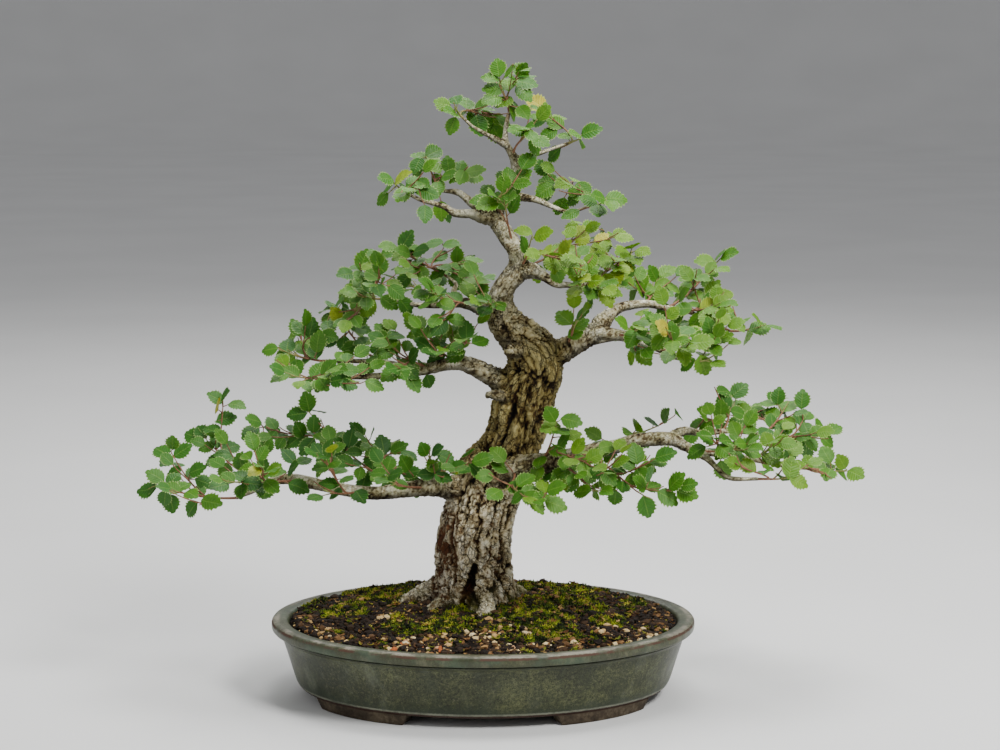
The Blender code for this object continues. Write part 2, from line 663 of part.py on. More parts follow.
def wood_meshes(extra, helpers):
    """Every piece of the old wood, grown by extra all round."""
    meshes = [trunk_mesh(helpers)]
    meshes += [root_mesh(root, helpers) for root in ROOTS]
    meshes += [limb_mesh(name, helpers) for name in LIMBS]
    return [grow(mesh, extra) for mesh in meshes]


def stem_route(root, heading, tip, segments):
    """A stem that leaves along the limb, bows up a little and ends at the tip."""
    span = (tip - root).length
    along = (tip - root).normalized()
    leave = (along + heading * STEM_LEAVE).normalized()
    arrive = (along + Vector((0, 0, STEM_RISE))).normalized()
    first, second = root + leave * span * STEM_PULL, tip - arrive * span * STEM_PULL
    points = []
    for i in range(segments + 1):
        t = i / segments
        s = 1 - t
        points.append(root * s**3 + first * 3 * s * s * t + second * 3 * s * t * t + tip * t**3)
    return points


def branching_point(route, tip):
    """Where a stem to the tip leaves a route, so that it sets off at about 50 degrees."""
    best = None
    gone = 0.0
    for a, b in zip(route, route[1:]):
        for i in range(BRANCHING_STEPS):
            point = a.lerp(b, i / BRANCHING_STEPS)
            cost = BRANCHING_SLOPE * (tip - point).length + gone + (point - a).length
            if best is None or cost < best[0]:
                best = (cost, point, (b - a).normalized())
        gone += (b - a).length
    if BRANCHING_SLOPE * (tip - route[-1]).length + gone < best[0]:
        best = (0, route[-1], (route[-1] - route[-2]).normalized())
    return best[1], best[2]


def spray_stems(limb, tips):
    """Stem routes of one spray: the leading one from the limb, the others from the stems before them."""
    routes = []
    for number, tip_px in enumerate(tips):
        tip = sight(*tip_px)
        carrier = limb_points(limb) if number == 0 else routes[0][1:-1]
        root, heading = branching_point(carrier, tip)
        routes.append(stem_route(root, heading, tip, STEM_SEGMENTS[min(number, 1)]))
    return routes


def leaf_frame(tangent, side, depth, chance):
    """Axis and normal of a leaf that stands off a stem, to one side (1 or -1) or at its end (0)."""
    front = max(-1.0, min(1.0, (TURN_DEPTH - depth) / TURN_REACH))
    face = Vector((chance.uniform(-0.25, 0.25), -0.62 * front, 0.80))
    normal = (face - tangent * face.dot(tangent)).normalized()
    across = tangent.cross(normal)
    if side:
        spread = math.radians(chance.uniform(*LEAF_SPREAD_DEG)) * side
    else:
        spread = math.radians(chance.uniform(-END_LEAF_SWAY_DEG, END_LEAF_SWAY_DEG))
    axis = tangent * math.cos(spread) + across * math.sin(spread)
    axis = (axis - normal * math.tan(math.radians(chance.uniform(*LEAF_DROOP_DEG)))).normalized()
    roll = Matrix.Rotation(math.radians(chance.uniform(-LEAF_ROLL_DEG, LEAF_ROLL_DEG)), 3, axis)
    normal = roll @ (normal - axis * normal.dot(axis)).normalized()
    return axis, normal


def leaf_shape(base, axis, normal, length, puff=0.0, start=0.0):
    """Points and faces of a toothed leaf, folded on its rib and arched, as a thin closed blade."""
    across = axis.cross(normal)
    half = length * LEAF_WIDTH_SHARE / 2

    def place(along, out, lift):
        bend = -LEAF_ARCH * length * along * along
        return base + axis * length * along + across * out + normal * (bend + lift)

    fold = LEAF_FOLD * half
    right = [(share, half * width) for share, width in LEAF_EDGE]
    outline = [place(a, w + puff, fold * w / half) for a, w in right]
    outline.append(place(1 + puff / length, 0, 0))
    outline += [place(a, -w - puff, fold * w / half) for a, w in reversed(right)]
    root = LEAF_ROOT_THICKNESS / 2 + puff
    body = LEAF_THICKNESS / 2 + puff
    points = outline + [
        place(start, 0, root), place(start, 0, -root), place(0.5, 0, body), place(0.5, 0, -body),
    ]
    last = len(outline)
    root_top, root_low, top, low = last, last + 1, last + 2, last + 3
    faces = []
    for i in range(last - 1):
        faces.append((top, i, i + 1))
        faces.append((low, i + 1, i))
    faces += [(top, root_top, 0), (top, last - 1, root_top), (low, 0, root_low), (low, root_low, last - 1)]
    faces += [(root_top, root_low, 0), (root_low, root_top, last - 1)]
    return points, faces


def mesh_of(name, points, faces):
    mesh = bpy.data.meshes.new(name)
    mesh.from_pydata(points, [], faces)
    shell = bmesh.new()
    shell.from_mesh(mesh)
    bmesh.ops.recalc_face_normals(shell, faces=shell.faces)
    shell.to_mesh(mesh)
    shell.free()
    return mesh


def tree_of(mesh):
    points = [vert.co.copy() for vert in mesh.vertices]
    return BVHTree.FromPolygons(points, [tuple(face.vertices) for face in mesh.polygons])


def walk_back(route, distance):
    """The point and direction at a distance back from a route's end, or None past its leafy share."""
    whole = sum((b - a).length for a, b in zip(route, route[1:]))
    if distance > LEAFY_SHARE * whole:
        return None
    for a, b in zip(route[-2::-1], route[:0:-1]):
        span = (b - a).length
        if distance <= span:
            return b.lerp(a, distance / span), (b - a).normalized()
        distance -= span
    return None


def place_leaves(routes, tips, barriers, own, chance):
    """Leaf meshes of one spray, each turned until it clears the wood and all that is placed already."""
    leaves = []
    for number, (route, tip_px) in enumerate(zip(routes, tips)):
        count = LEAVES_ON_LEADING_TIP if number == 0 else LEAVES_ON_OTHER_TIPS
        turn = chance.choice((-1, 1))
        for k in range(count):
            found = walk_back(route, k * LEAF_SPACING)
            if found is None:
                break
            spot, tangent = found
            side = 0 if k == 0 else turn * (-1) ** k
            size = LEAF_LENGTH * chance.uniform(0.88, 1.08) * (1.06 if k == 0 else 1 - 0.07 * (k - 1))
            for _ in range(PLACING_TRIES):
                axis, normal = leaf_frame(tangent, side, tip_px[2], chance)
                tested = leaf_shape(spot, axis, normal, size, puff=LEAF_CLEARANCE, start=LEAF_CLEAR_START)
                blocker = BVHTree.FromPolygons(*tested)
                if not any(blocker.overlap(tree) for tree in barriers + own):
                    mesh = mesh_of("leaf", *leaf_shape(spot, axis, normal, size))
                    leaves.append(mesh)
                    own.append(blocker)
                    break
                size *= SHRINK_PER_TRY
    return leaves


def make_sprays(collection, helpers, wood_tree, wood_cutter):
    """Every leafy spray, each one body of stems and leaves that ends just off its limb."""
    plans = {name: spray_stems(limb, tips) for name, (limb, tips) in SPRAYS.items()}
    stems = {}
    for name, routes in plans.items():
        stems[name] = []
        for number, route in enumerate(routes):
            root = TWIG_ROOT_RADIUS if number == 0 else TWIG_ROOT_RADIUS * 0.75
            last = len(route) - 1
            radii = [root + (TWIG_TIP_RADIUS - root) * i / last for i in range(last + 1)]
            stems[name].append(tube_mesh(name, route, radii, TWIG_SIDES, helpers))
    stem_trees = {name: [tree_of(mesh) for mesh in meshes] for name, meshes in stems.items()}
    placed = []
    for index, (name, (_, tips)) in enumerate(SPRAYS.items()):
        chance = random.Random(index * 7 + 3)
        others = [tree for other, trees in stem_trees.items() if other != name for tree in trees]
        own = list(stem_trees[name])
        leaves = place_leaves(plans[name], tips, placed + others + [wood_tree], own, chance)
        placed += own[len(stem_trees[name]):]
        spray = unite("spray_" + name, stems[name] + leaves, collection, "leaf")
        cut(spray, wood_cutter.copy(), helpers)
        keep_largest_body(spray)


def stand_over_origin(objects):
    """Moves the whole so that its box is centred over the origin."""
    corners = [obj.matrix_world @ vert.co for obj in objects for vert in obj.data.vertices]
    middle_x = (min(c.x for c in corners) + max(c.x for c in corners)) / 2
    middle_y = (min(c.y for c in corners) + max(c.y for c in corners)) / 2
    for obj in objects:
        obj.data.transform(Matrix.Translation((-middle_x, -middle_y, 0)))


def main():
    clear_scene()
    bonsai = new_collection("winged_elm_bonsai")
    helpers = new_collection("helpers")
    make_pot(bonsai, helpers)
    for side in (-1, 1):
        make_screen(side, bonsai, helpers)
    unite("trunk_and_limbs", wood_meshes(0.0, helpers), bonsai, "bark")
    grown = unite("grown_wood", wood_meshes(WOOD_GAP, helpers), helpers, "bark")
    make_soil(bonsai, helpers, grown.data.copy())
    make_sprays(bonsai, helpers, tree_of(grown.data), grown.data)
    bpy.data.objects.remove(grown, do_unlink=True)
    for obj in list(helpers.objects):
        bpy.data.objects.remove(obj, do_unlink=True)
    stand_over_origin(list(bonsai.objects))


main()
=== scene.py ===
"""The look of a winged elm bonsai: bark, leafy sprays, glazed pot, grit and moss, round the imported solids."""

import logging
import math
import random
from dataclasses import dataclass, field
from enum import Enum

import bpy
import numpy as np
from mathutils import Matrix, Vector, kdtree, noise


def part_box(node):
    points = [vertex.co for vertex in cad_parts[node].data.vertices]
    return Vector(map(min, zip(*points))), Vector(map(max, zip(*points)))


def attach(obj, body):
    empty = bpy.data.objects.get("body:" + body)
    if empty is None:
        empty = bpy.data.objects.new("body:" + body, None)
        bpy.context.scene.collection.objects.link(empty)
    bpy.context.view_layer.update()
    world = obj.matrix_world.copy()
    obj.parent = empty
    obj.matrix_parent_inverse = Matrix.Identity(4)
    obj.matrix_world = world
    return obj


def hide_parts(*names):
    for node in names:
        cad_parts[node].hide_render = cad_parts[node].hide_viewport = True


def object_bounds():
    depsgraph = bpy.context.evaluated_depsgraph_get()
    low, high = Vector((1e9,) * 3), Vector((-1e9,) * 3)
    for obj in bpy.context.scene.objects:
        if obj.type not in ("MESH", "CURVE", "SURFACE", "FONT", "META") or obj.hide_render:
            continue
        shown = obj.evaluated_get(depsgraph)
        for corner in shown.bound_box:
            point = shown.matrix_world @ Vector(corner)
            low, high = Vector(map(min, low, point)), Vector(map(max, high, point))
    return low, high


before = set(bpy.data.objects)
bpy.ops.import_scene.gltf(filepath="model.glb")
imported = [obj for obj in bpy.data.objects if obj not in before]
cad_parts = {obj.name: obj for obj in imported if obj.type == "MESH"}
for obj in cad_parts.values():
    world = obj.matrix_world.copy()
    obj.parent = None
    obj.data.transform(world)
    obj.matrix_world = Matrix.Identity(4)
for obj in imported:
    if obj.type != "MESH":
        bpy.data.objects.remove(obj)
cad_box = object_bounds()
log = logging.getLogger("bonsai")

# The noise that warps the bark takes its offset from the clock, unless it is given a seed
NOISE_SEED = 7

Piece = bpy.types.Object
Finish = bpy.types.Material
Socket = bpy.types.NodeSocket
Pixel = tuple[float, float]
Mark = tuple[float, float, float]
Knot = tuple[float, float, float, float]
Band = tuple[float, float, float, float]


def metres(marks: list[Mark]) -> list[Mark]:
    """Turns what follows the two pixels of each mark from millimetres into metres."""
    return [(*mark[:2], *(round(value / 1000, 6) for value in mark[2:])) for mark in marks]


# The trunk, from its foot to its top: (across px, down px, depth mm, diameter mm)
TRUNK: list[Knot] = metres([
    (476, 600, 32, 78), (475, 585, 32, 75), (474, 568, 32, 70), (474, 540, 30, 69),
    (480, 512, 30, 69), (489, 484, 29, 67), (506, 455, 26, 56), (517, 430, 22, 53),
    (522, 408, 18, 55), (528, 387, 15, 53), (535, 368, 12, 50), (532, 352, 9, 47),
    (520, 338, 6, 38), (508, 326, 3, 33), (501, 312, 0, 28), (501, 298, -3, 22),
    (507, 284, -5, 19), (516, 273, -4, 20), (519, 262, -2, 17), (515, 249, 1, 16),
    (506, 235, 5, 17), (498, 221, 9, 16), (499, 208, 11, 12), (507, 194, 9, 11.5),
    (514, 181, 6, 10.5), (516, 170, 4, 9.5), (513, 156, 2, 8), (506, 143, 0, 6.2),
    (506, 127, 0, 5), (509, 112, 0, 4),
])

# The limbs, from the trunk outward, in the same terms
LIMBS: dict[str, list[Knot]] = {name: metres(knots) for name, knots in {
    "low_left": [
        (468, 489, 24, 21), (440, 487, 12, 18), (411, 489, 6, 14.5), (376, 493, 0, 12.5),
        (351, 491, -4, 12), (325, 486, -6, 11), (302, 481, -4, 12), (286, 479, 0, 10),
        (270, 482, 0, 8), (254, 490, -4, 5.5), (236, 498, -8, 3.5),
    ],
    "low_right": [
        (490, 478, 20, 26), (512, 470, -4, 23), (535, 466, -14, 20), (560, 460, -20, 17),
        (590, 452, -24, 15), (614, 447, -26, 13), (636, 441, -26, 13), (658, 439, -24, 13.5),
        (674, 440, -20, 12), (686, 447, -18, 9), (704, 452, -16, 6.5), (744, 458, -10, 5),
        (786, 466, -5, 3.6), (812, 469, -2, 2.6),
    ],
    "low_right_upper": [
        (668, 439, -21, 8), (684, 431, -8, 7), (702, 433, 10, 6), (733, 431, 30, 4.5),
        (765, 435, 40, 3.4),
    ],
    "low_right_lower": [
        (680, 443, -19, 7), (696, 452, -28, 6.5), (708, 459, -36, 6), (717, 468, -42, 5),
        (730, 478, -45, 4.4), (758, 479, -45, 3),
    ],
    "mid_left": [
        (522, 392, 14, 24), (505, 383, 10, 21), (490, 375, 8, 18), (474, 367, 6, 16),
        (460, 363, 6, 14), (444, 365, 8, 12), (425, 370, 10, 10), (405, 373, 10, 8),
        (380, 376, 8, 6.5), (350, 377, 5, 5), (322, 378, 2, 3.4),
    ],
    "mid_left_back": [
        (432, 368, 10, 7.5), (405, 366, 30, 6), (380, 362, 40, 5), (350, 361, 45, 4),
        (322, 361, 45, 2.8),
    ],
    "high_left": [
        (499, 313, 1, 17), (484, 308, 6, 12), (469, 304, 12, 10), (457, 303, 18, 8.5),
        (440, 305, 24, 6.5), (418, 305, 30, 4.8), (398, 301, 36, 3.6), (380, 299, 40, 2.6),
    ],
    "high_left_back": [
        (462, 303, 16, 6), (454, 292, 36, 4.8), (456, 284, 52, 3.6), (448, 277, 68, 2.8),
    ],
    "mid_right": [
        (536, 362, 11, 24), (557, 354, 10, 21), (579, 342, 8, 19), (597, 333, 6, 16),
        (609, 334, 0, 12), (627, 337, -8, 10), (645, 343, -14, 8), (659, 349, -18, 6.5),
        (672, 356, -22, 5), (690, 361, -25, 3),
    ],
    "mid_right_upper": [
        (592, 335, 7, 13), (604, 321, 12, 12), (614, 311, 18, 10), (626, 306, 24, 8.5),
        (648, 304, 32, 7), (666, 308, 38, 5.5), (689, 312, 42, 4), (710, 322, 40, 3),
        (730, 331, 36, 2.4),
    ],
    "high_right": [
        (517, 270, -3, 15), (533, 271, -8, 10.5), (545, 277, -14, 8.5), (556, 284, -18, 7),
        (568, 285, -20, 5.5), (580, 286, -20, 4.6), (595, 279, -12, 3.6), (608, 270, -4, 2.6),
    ],
    "top_left": [
        (497, 219, 9, 13), (484, 217, 4, 10), (470, 214, 0, 8), (455, 213, -4, 7.2),
        (443, 206, -6, 5), (421, 200, -8, 3.8), (405, 192, -8, 2.6),
    ],
    "top_left_back": [
        (494, 219, 10, 10), (473, 204, 18, 7.5), (459, 193, 28, 6), (445, 191, 36, 3.6),
        (432, 189, 42, 2.6),
    ],
    "top_right": [
        (505, 201, 10, 9), (517, 197, 4, 6.5), (536, 200, 0, 5.5), (555, 208, -4, 4),
        (570, 212, -6, 3), (588, 207, -6, 2.4),
    ],
    "crown_right": [
        (512, 160, 3, 6.5), (522, 158, 2, 4.8), (537, 154, 4, 3.6), (555, 148, 6, 2.8),
        (568, 143, 8, 2.2),
    ],
    "crown_left": [
        (507, 146, 0, 6), (497, 140, -4, 4.5), (484, 133, -8, 3.5), (472, 126, -10, 2.8),
        (463, 118, -10, 2.2),
    ],
    "back_low_right": [
        (496, 470, 40, 16), (512, 470, 72, 11), (532, 470, 102, 7.5), (552, 468, 128, 4.5),
    ],
    "back_low_left": [
        (480, 500, 44, 15), (460, 488, 75, 10), (438, 478, 102, 7), (415, 472, 128, 4.2),
    ],
    "back_mid_right": [
        (534, 362, 20, 15), (556, 352, 52, 11), (585, 343, 82, 8), (615, 338, 108, 5.5),
        (640, 335, 126, 3.5),
    ],
    "back_high_left": [
        (503, 318, 4, 12), (484, 311, 36, 8.5), (458, 303, 70, 6), (432, 294, 100, 3.8),
    ],
}.items()}

# Dry stubs left by old pruning
STUBS: dict[str, list[Knot]] = {name: metres(knots) for name, knots in {
    "stub_mid": [(512, 398, 0, 9), (496, 395, -6, 7.5), (487, 394, -10, 5.5)],
    "stub_high": [(519, 349, -6, 11), (511, 351, -18, 8.5), (506, 349, -22, 6)],
}.items()}

# Clefts down the front of the trunk: ([(across px, down px), ...], half width px, depth m)
CLEFTS: list[tuple[list[Pixel], float, float]] = [
    ([(483, 522), (478, 540), (479, 556), (474, 570)], 2.6, 0.0040),
    ([(475, 568), (471, 580), (466, 592), (463, 606)], 4.4, 0.0090),
    ([(470, 592), (474, 604)], 5.0, 0.0080),
    ([(496, 570), (503, 586), (510, 604)], 2.6, 0.0040),
    ([(453, 520), (450, 540), (455, 560), (454, 582)], 3.2, 0.0042),
    ([(505, 508), (501, 530), (503, 552), (509, 574)], 3.0, 0.0040),
    ([(494, 520), (492, 540), (496, 560)], 2.2, 0.0026),
    ([(466, 508), (463, 528), (467, 548)], 2.4, 0.0030),
    ([(500, 446), (508, 424), (513, 404)], 3.4, 0.0046),
    ([(524, 452), (527, 428), (524, 408), (530, 388)], 3.0, 0.0044),
    ([(512, 462), (517, 440), (520, 420)], 2.2, 0.0028),
    ([(541, 402), (544, 384), (541, 366)], 2.6, 0.0032),
    ([(519, 350), (508, 336), (500, 320)], 2.4, 0.0026),
    ([(534, 348), (524, 334), (512, 318)], 2.0, 0.0022),
]

# Each spray: the limb it grows from, and its tips as (across px, down px, depth mm), the leading tip first
SPRAYS: dict[str, tuple[str, list[Mark]]] = {name: (limb, metres(tips)) for name, (limb, tips) in {
    "low_left_1": ("low_left", [(158, 485, -20), (171, 452, 20), (199, 505, -45)]),
    "low_left_2": ("low_left", [(204, 437, 65), (223, 400, 75)]),
    "low_left_3": ("low_left", [(228, 480, -55), (262, 468, -60)]),
    "low_left_4": ("low_left", [(308, 411, 60), (264, 427, 85)]),
    "low_left_5": ("low_left", [(324, 490, -70), (325, 458, -45)]),
    "low_left_6": ("low_left", [(362, 435, 45), (385, 455, 40)]),
    "low_left_7": ("low_left", [(388, 480, -55)]),
    "low_left_8": ("low_left", [(428, 455, 0), (444, 476, -45), (471, 461, -40)]),
    "low_right_1": ("low_right", [(557, 422, -40), (592, 462, -65)]),
    "low_right_2": ("low_right", [(506, 490, -70), (541, 502, -85)]),
    "low_right_3": ("low_right", [(601, 493, -88), (612, 465, -75)]),
    "low_right_4": ("low_right", [(652, 499, -90), (677, 490, -80), (645, 464, -65)]),
    "low_right_5": ("low_right", [(642, 428, 30), (674, 416, 50)]),
    "low_right_6": ("low_right_upper", [(732, 396, 70), (705, 418, 55)]),
    "low_right_7": ("low_right_upper", [(789, 401, 80), (752, 412, 85)]),
    "low_right_8": ("low_right_upper", [(826, 434, 55), (803, 420, 70)]),
    "low_right_9": ("low_right", [(748, 445, -45), (716, 440, -55)]),
    "low_right_10": ("low_right", [(772, 448, -20), (764, 468, -32)]),
    "low_right_11": ("low_right", [(847, 470, 10), (822, 474, -15)]),
    "low_right_12": ("low_right_lower", [(791, 477, -60), (735, 463, -78)]),
    "mid_left_1": ("mid_left", [(291, 375, -20), (333, 371, -45), (359, 382, -60)]),
    "mid_left_2": ("mid_left_back", [(286, 352, 50), (300, 334, 80)]),
    "mid_left_3": ("mid_left_back", [(337, 311, 100), (352, 325, 85)]),
    "mid_left_4": ("mid_left", [(385, 342, -5), (397, 368, -50)]),
    "mid_left_5": ("mid_left", [(424, 330, 30), (437, 352, -45)]),
    "mid_left_6": ("mid_left", [(450, 333, 10), (467, 341, -30)]),
    "high_left_1": ("high_left", [(366, 298, 44), (356, 313, 40), (360, 270, 75), (380, 276, 12)]),
    "high_left_2": (
        "high_left_back",
        [(397, 247, 85), (418, 268, 60), (444, 247, 100), (462, 263, 85), (478, 279, 60)],
    ),
    "high_left_3": ("high_left", [(428, 292, -20), (446, 319, -15)]),
    "high_left_4": ("trunk", [(485, 301, -32)]),
    "mid_right_1": ("mid_right", [(577, 318, -20)]),
    "mid_right_2": ("mid_right_upper", [(657, 280, 80), (640, 290, 55)]),
    "mid_right_3": ("mid_right_upper", [(716, 260, 85), (688, 282, 90)]),
    "mid_right_4": ("mid_right_upper", [(718, 306, 15), (700, 298, 60)]),
    "mid_right_5": ("mid_right_upper", [(764, 325, 34), (735, 320, 20)]),
    "mid_right_6": ("mid_right", [(709, 360, -35), (712, 340, -15)]),
    "mid_right_7": ("mid_right", [(638, 328, -65), (637, 354, -55)]),
    "mid_right_8": ("mid_right", [(690, 345, -60), (668, 334, -70)]),
    "high_right_1": ("high_right", [(532, 236, -35), (560, 256, -50)]),
    "high_right_2": ("high_right", [(600, 285, -50), (578, 272, -60)]),
    "high_right_3": ("high_right", [(583, 231, 45), (612, 237, 55)]),
    "high_right_4": ("high_right", [(632, 253, 15), (618, 262, -20)]),
    "top_left_1": ("top_left", [(393, 182, -12), (412, 188, -40)]),
    "top_left_2": ("top_left_back", [(426, 156, 55), (464, 173, 50)]),
    "top_left_3": ("trunk", [(504, 200, -30)]),
    "top_right_1": ("top_right", [(606, 201, -20), (572, 184, 35)]),
    "crown_right_1": ("crown_right", [(581, 138, 12), (544, 110, 35)]),
    "crown_left_1": ("crown_left", [(454, 107, -12), (484, 111, 28)]),
    "crown_1": ("trunk", [(499, 79, 0), (516, 76, 18)]),
    "crown_2": ("trunk", [(529, 128, -32)]),
    "back_low_1": ("back_low_right", [(585, 456, 150), (548, 476, 160)]),
    "back_low_2": ("back_low_left", [(383, 462, 150), (430, 474, 158)]),
    "back_mid_1": ("back_mid_right", [(686, 325, 140), (652, 332, 160)]),
    "back_high_1": ("back_high_left", [(408, 283, 130), (436, 279, 122)]),
}.items()}

# Middles of the leaves that the front view shows, pad by pad: (across px, down px)
LEAF_SPOTS: dict[str, list[Pixel]] = {
    "low_left": [
        (140, 490), (156, 475), (151, 487), (165, 499), (172, 504), (172, 442), (162, 451), (165, 462),
        (182, 451), (201, 431), (193, 436), (214, 434), (216, 439), (205, 447), (225, 394), (215, 397),
        (216, 405), (237, 404), (226, 418), (254, 420), (272, 421), (251, 431), (273, 430), (283, 438),
        (308, 403), (297, 414), (317, 411), (300, 430), (314, 423), (321, 437), (213, 462), (240, 462),
        (244, 477), (264, 465), (274, 472), (272, 487), (265, 492), (191, 493), (220, 486), (241, 492),
        (210, 502), (191, 509), (174, 478), (231, 446), (259, 449), (265, 440), (356, 427), (372, 433),
        (351, 438), (351, 449), (369, 446), (383, 445), (399, 448), (410, 455), (405, 464), (411, 472),
        (424, 449), (437, 449), (435, 462), (446, 458), (444, 478), (467, 451), (482, 459), (461, 467),
        (475, 469), (314, 497), (334, 493), (329, 484), (359, 495), (364, 481), (388, 484), (415, 486),
        (308, 446), (305, 460), (322, 456), (336, 459), (339, 469), (329, 448), (343, 446), (288, 455),
        (292, 468), (318, 470), (354, 463), (372, 461), (388, 462), (376, 472), (347, 479), (298, 486),
        (425, 474), (197, 470), (183, 486), (225, 472), (205, 482), (252, 484), (286, 447), (394, 474),
    ],
    "low_right": [
        (551, 414), (551, 428), (571, 420), (563, 441), (573, 434), (579, 445), (593, 433), (498, 454),
        (501, 466), (484, 475), (539, 461), (536, 473), (551, 473), (495, 493), (516, 488), (516, 498),
        (531, 497), (543, 496), (555, 488), (538, 508), (555, 504), (584, 459), (595, 456), (609, 452),
        (599, 442), (619, 468), (609, 472), (595, 473), (571, 484), (582, 491), (595, 493), (606, 484),
        (615, 500), (636, 454), (639, 475), (641, 484), (650, 474), (659, 462), (665, 455), (646, 506),
        (667, 496), (675, 482), (690, 484), (686, 494), (637, 426), (630, 433), (652, 421), (666, 415),
        (680, 414), (724, 391), (739, 390), (724, 401), (739, 405), (721, 411), (739, 413), (703, 414),
        (696, 425), (720, 427), (778, 395), (767, 402), (774, 397), (802, 399), (787, 406), (757, 412),
        (772, 420), (786, 418), (799, 416), (821, 428), (834, 430), (828, 442), (807, 430), (826, 454),
        (804, 437), (806, 451), (791, 454), (783, 432), (842, 461), (842, 473), (855, 473), (817, 467),
        (828, 473), (791, 469), (783, 477), (799, 482), (763, 471), (696, 451), (716, 448), (727, 440),
        (737, 450), (751, 440), (748, 425), (764, 451), (777, 446), (766, 432), (732, 463), (747, 465),
        (723, 470), (571, 462), (561, 474), (525, 480), (627, 462), (576, 472), (622, 486), (706, 438),
        (690, 437),
    ],
    "mid_left": [
        (268, 349), (287, 346), (281, 358), (302, 349), (315, 351), (317, 343), (296, 327), (292, 335),
        (311, 329), (308, 337), (279, 379), (297, 368), (305, 382), (277, 368), (328, 369), (317, 370),
        (344, 295), (338, 303), (326, 309), (346, 312), (359, 296), (358, 304), (328, 319), (351, 322),
        (365, 318), (362, 329), (345, 332), (328, 328), (328, 336), (330, 343), (343, 345), (351, 370),
        (345, 358), (368, 370), (350, 385), (375, 385), (339, 380), (380, 336), (378, 347), (396, 335),
        (394, 345), (411, 321), (414, 334), (390, 373), (401, 372), (414, 384), (430, 383), (413, 356),
        (434, 353), (456, 355), (431, 321), (442, 333), (454, 331), (466, 330), (462, 340), (481, 341),
        (364, 354), (382, 358), (398, 357), (424, 344), (446, 345), (424, 366), (361, 341), (306, 360),
        (322, 383),
    ],
    "high_left": [
        (378, 290), (389, 303), (397, 292), (347, 274), (363, 261), (372, 274), (377, 258), (387, 246),
        (406, 241), (406, 250), (389, 253), (420, 250), (434, 243), (452, 244), (441, 255), (457, 254),
        (445, 267), (474, 259), (464, 271), (418, 261), (422, 274), (380, 265), (406, 268), (382, 285),
        (420, 294), (429, 285), (440, 295), (424, 304), (445, 304), (458, 319), (489, 278), (481, 289),
        (473, 302), (482, 299), (484, 311), (498, 305), (502, 294), (403, 281), (438, 275), (456, 282),
        (468, 289), (405, 306), (366, 284), (360, 290),
    ],
    "mid_right": [
        (565, 318), (582, 313), (582, 323), (577, 332), (720, 254), (728, 255), (705, 261), (713, 271),
        (653, 273), (667, 271), (695, 273), (685, 278), (642, 281), (642, 289), (631, 296), (664, 284),
        (664, 292), (688, 285), (708, 284), (713, 289), (712, 298), (697, 296), (683, 294), (726, 307),
        (711, 309), (705, 312), (716, 318), (682, 308), (733, 321), (744, 319), (757, 318), (759, 328),
        (774, 326), (747, 338), (722, 338), (716, 351), (704, 354), (719, 363), (703, 365), (687, 365),
        (672, 346), (672, 331), (658, 321), (641, 322), (623, 322), (640, 333), (638, 347), (631, 359),
        (644, 358), (688, 345), (697, 335), (696, 321), (701, 342), (651, 340), (676, 300), (652, 300),
        (664, 312), (676, 318), (658, 331), (686, 329), (710, 330), (684, 356), (659, 343),
    ],
    "high_right": [
        (522, 231), (524, 244), (542, 234), (531, 257), (537, 274), (558, 276), (550, 264), (562, 264),
        (554, 253), (565, 249), (573, 228), (591, 229), (582, 240), (589, 238), (605, 235), (616, 232),
        (602, 242), (597, 251), (632, 246), (643, 251), (634, 259), (625, 252), (616, 257), (622, 271),
        (616, 277), (628, 268), (578, 268), (577, 258), (580, 279), (602, 284), (575, 291), (596, 290),
        (612, 290), (590, 262), (589, 302), (570, 258), (591, 272), (604, 262), (606, 296),
    ],
    "top_left": [
        (386, 178), (386, 187), (381, 200), (401, 178), (406, 187), (418, 156), (434, 152), (417, 165),
        (434, 166), (417, 173), (415, 182), (420, 190), (429, 193), (439, 182), (438, 189), (460, 167),
        (474, 171), (449, 175), (473, 176), (455, 178), (425, 214), (441, 211), (449, 216), (480, 199),
        (495, 195), (489, 204), (448, 163),
    ],
    "top_right": [
        (514, 204), (512, 194), (600, 197), (616, 198), (612, 206), (588, 200), (583, 189), (577, 180),
        (563, 183), (548, 180), (546, 189), (545, 196), (561, 206), (570, 214), (527, 161), (541, 167),
        (523, 175), (522, 182), (503, 182), (509, 174),
    ],
    "crown": [
        (498, 67), (489, 77), (510, 71), (494, 89), (508, 84), (523, 70), (527, 76), (525, 83), (524, 92),
        (455, 98), (442, 103), (466, 103), (452, 112), (452, 127), (473, 116), (484, 103), (493, 98),
        (490, 110), (500, 122), (496, 133), (515, 102), (537, 103), (549, 110), (555, 122), (539, 121),
        (517, 130), (528, 126), (532, 134), (541, 141), (548, 134), (535, 147), (575, 133), (590, 131),
        (580, 143), (564, 134), (553, 154), (478, 124), (512, 113), (504, 101), (524, 112), (486, 120),
    ],
}

# Sprays whose leaves the spots of each pad may join
PAD_SPRAYS: dict[str, tuple[str, ...]] = {
    "low_left": ("low_left",),
    "low_right": ("low_right",),
    "mid_left": ("mid_left",),
    "high_left": ("high_left",),
    "mid_right": ("mid_right",),
    "high_right": ("high_right",),
    "top_left": ("top_left",),
    "top_right": ("top_right", "top_left_3"),
    "crown": ("crown",),
}

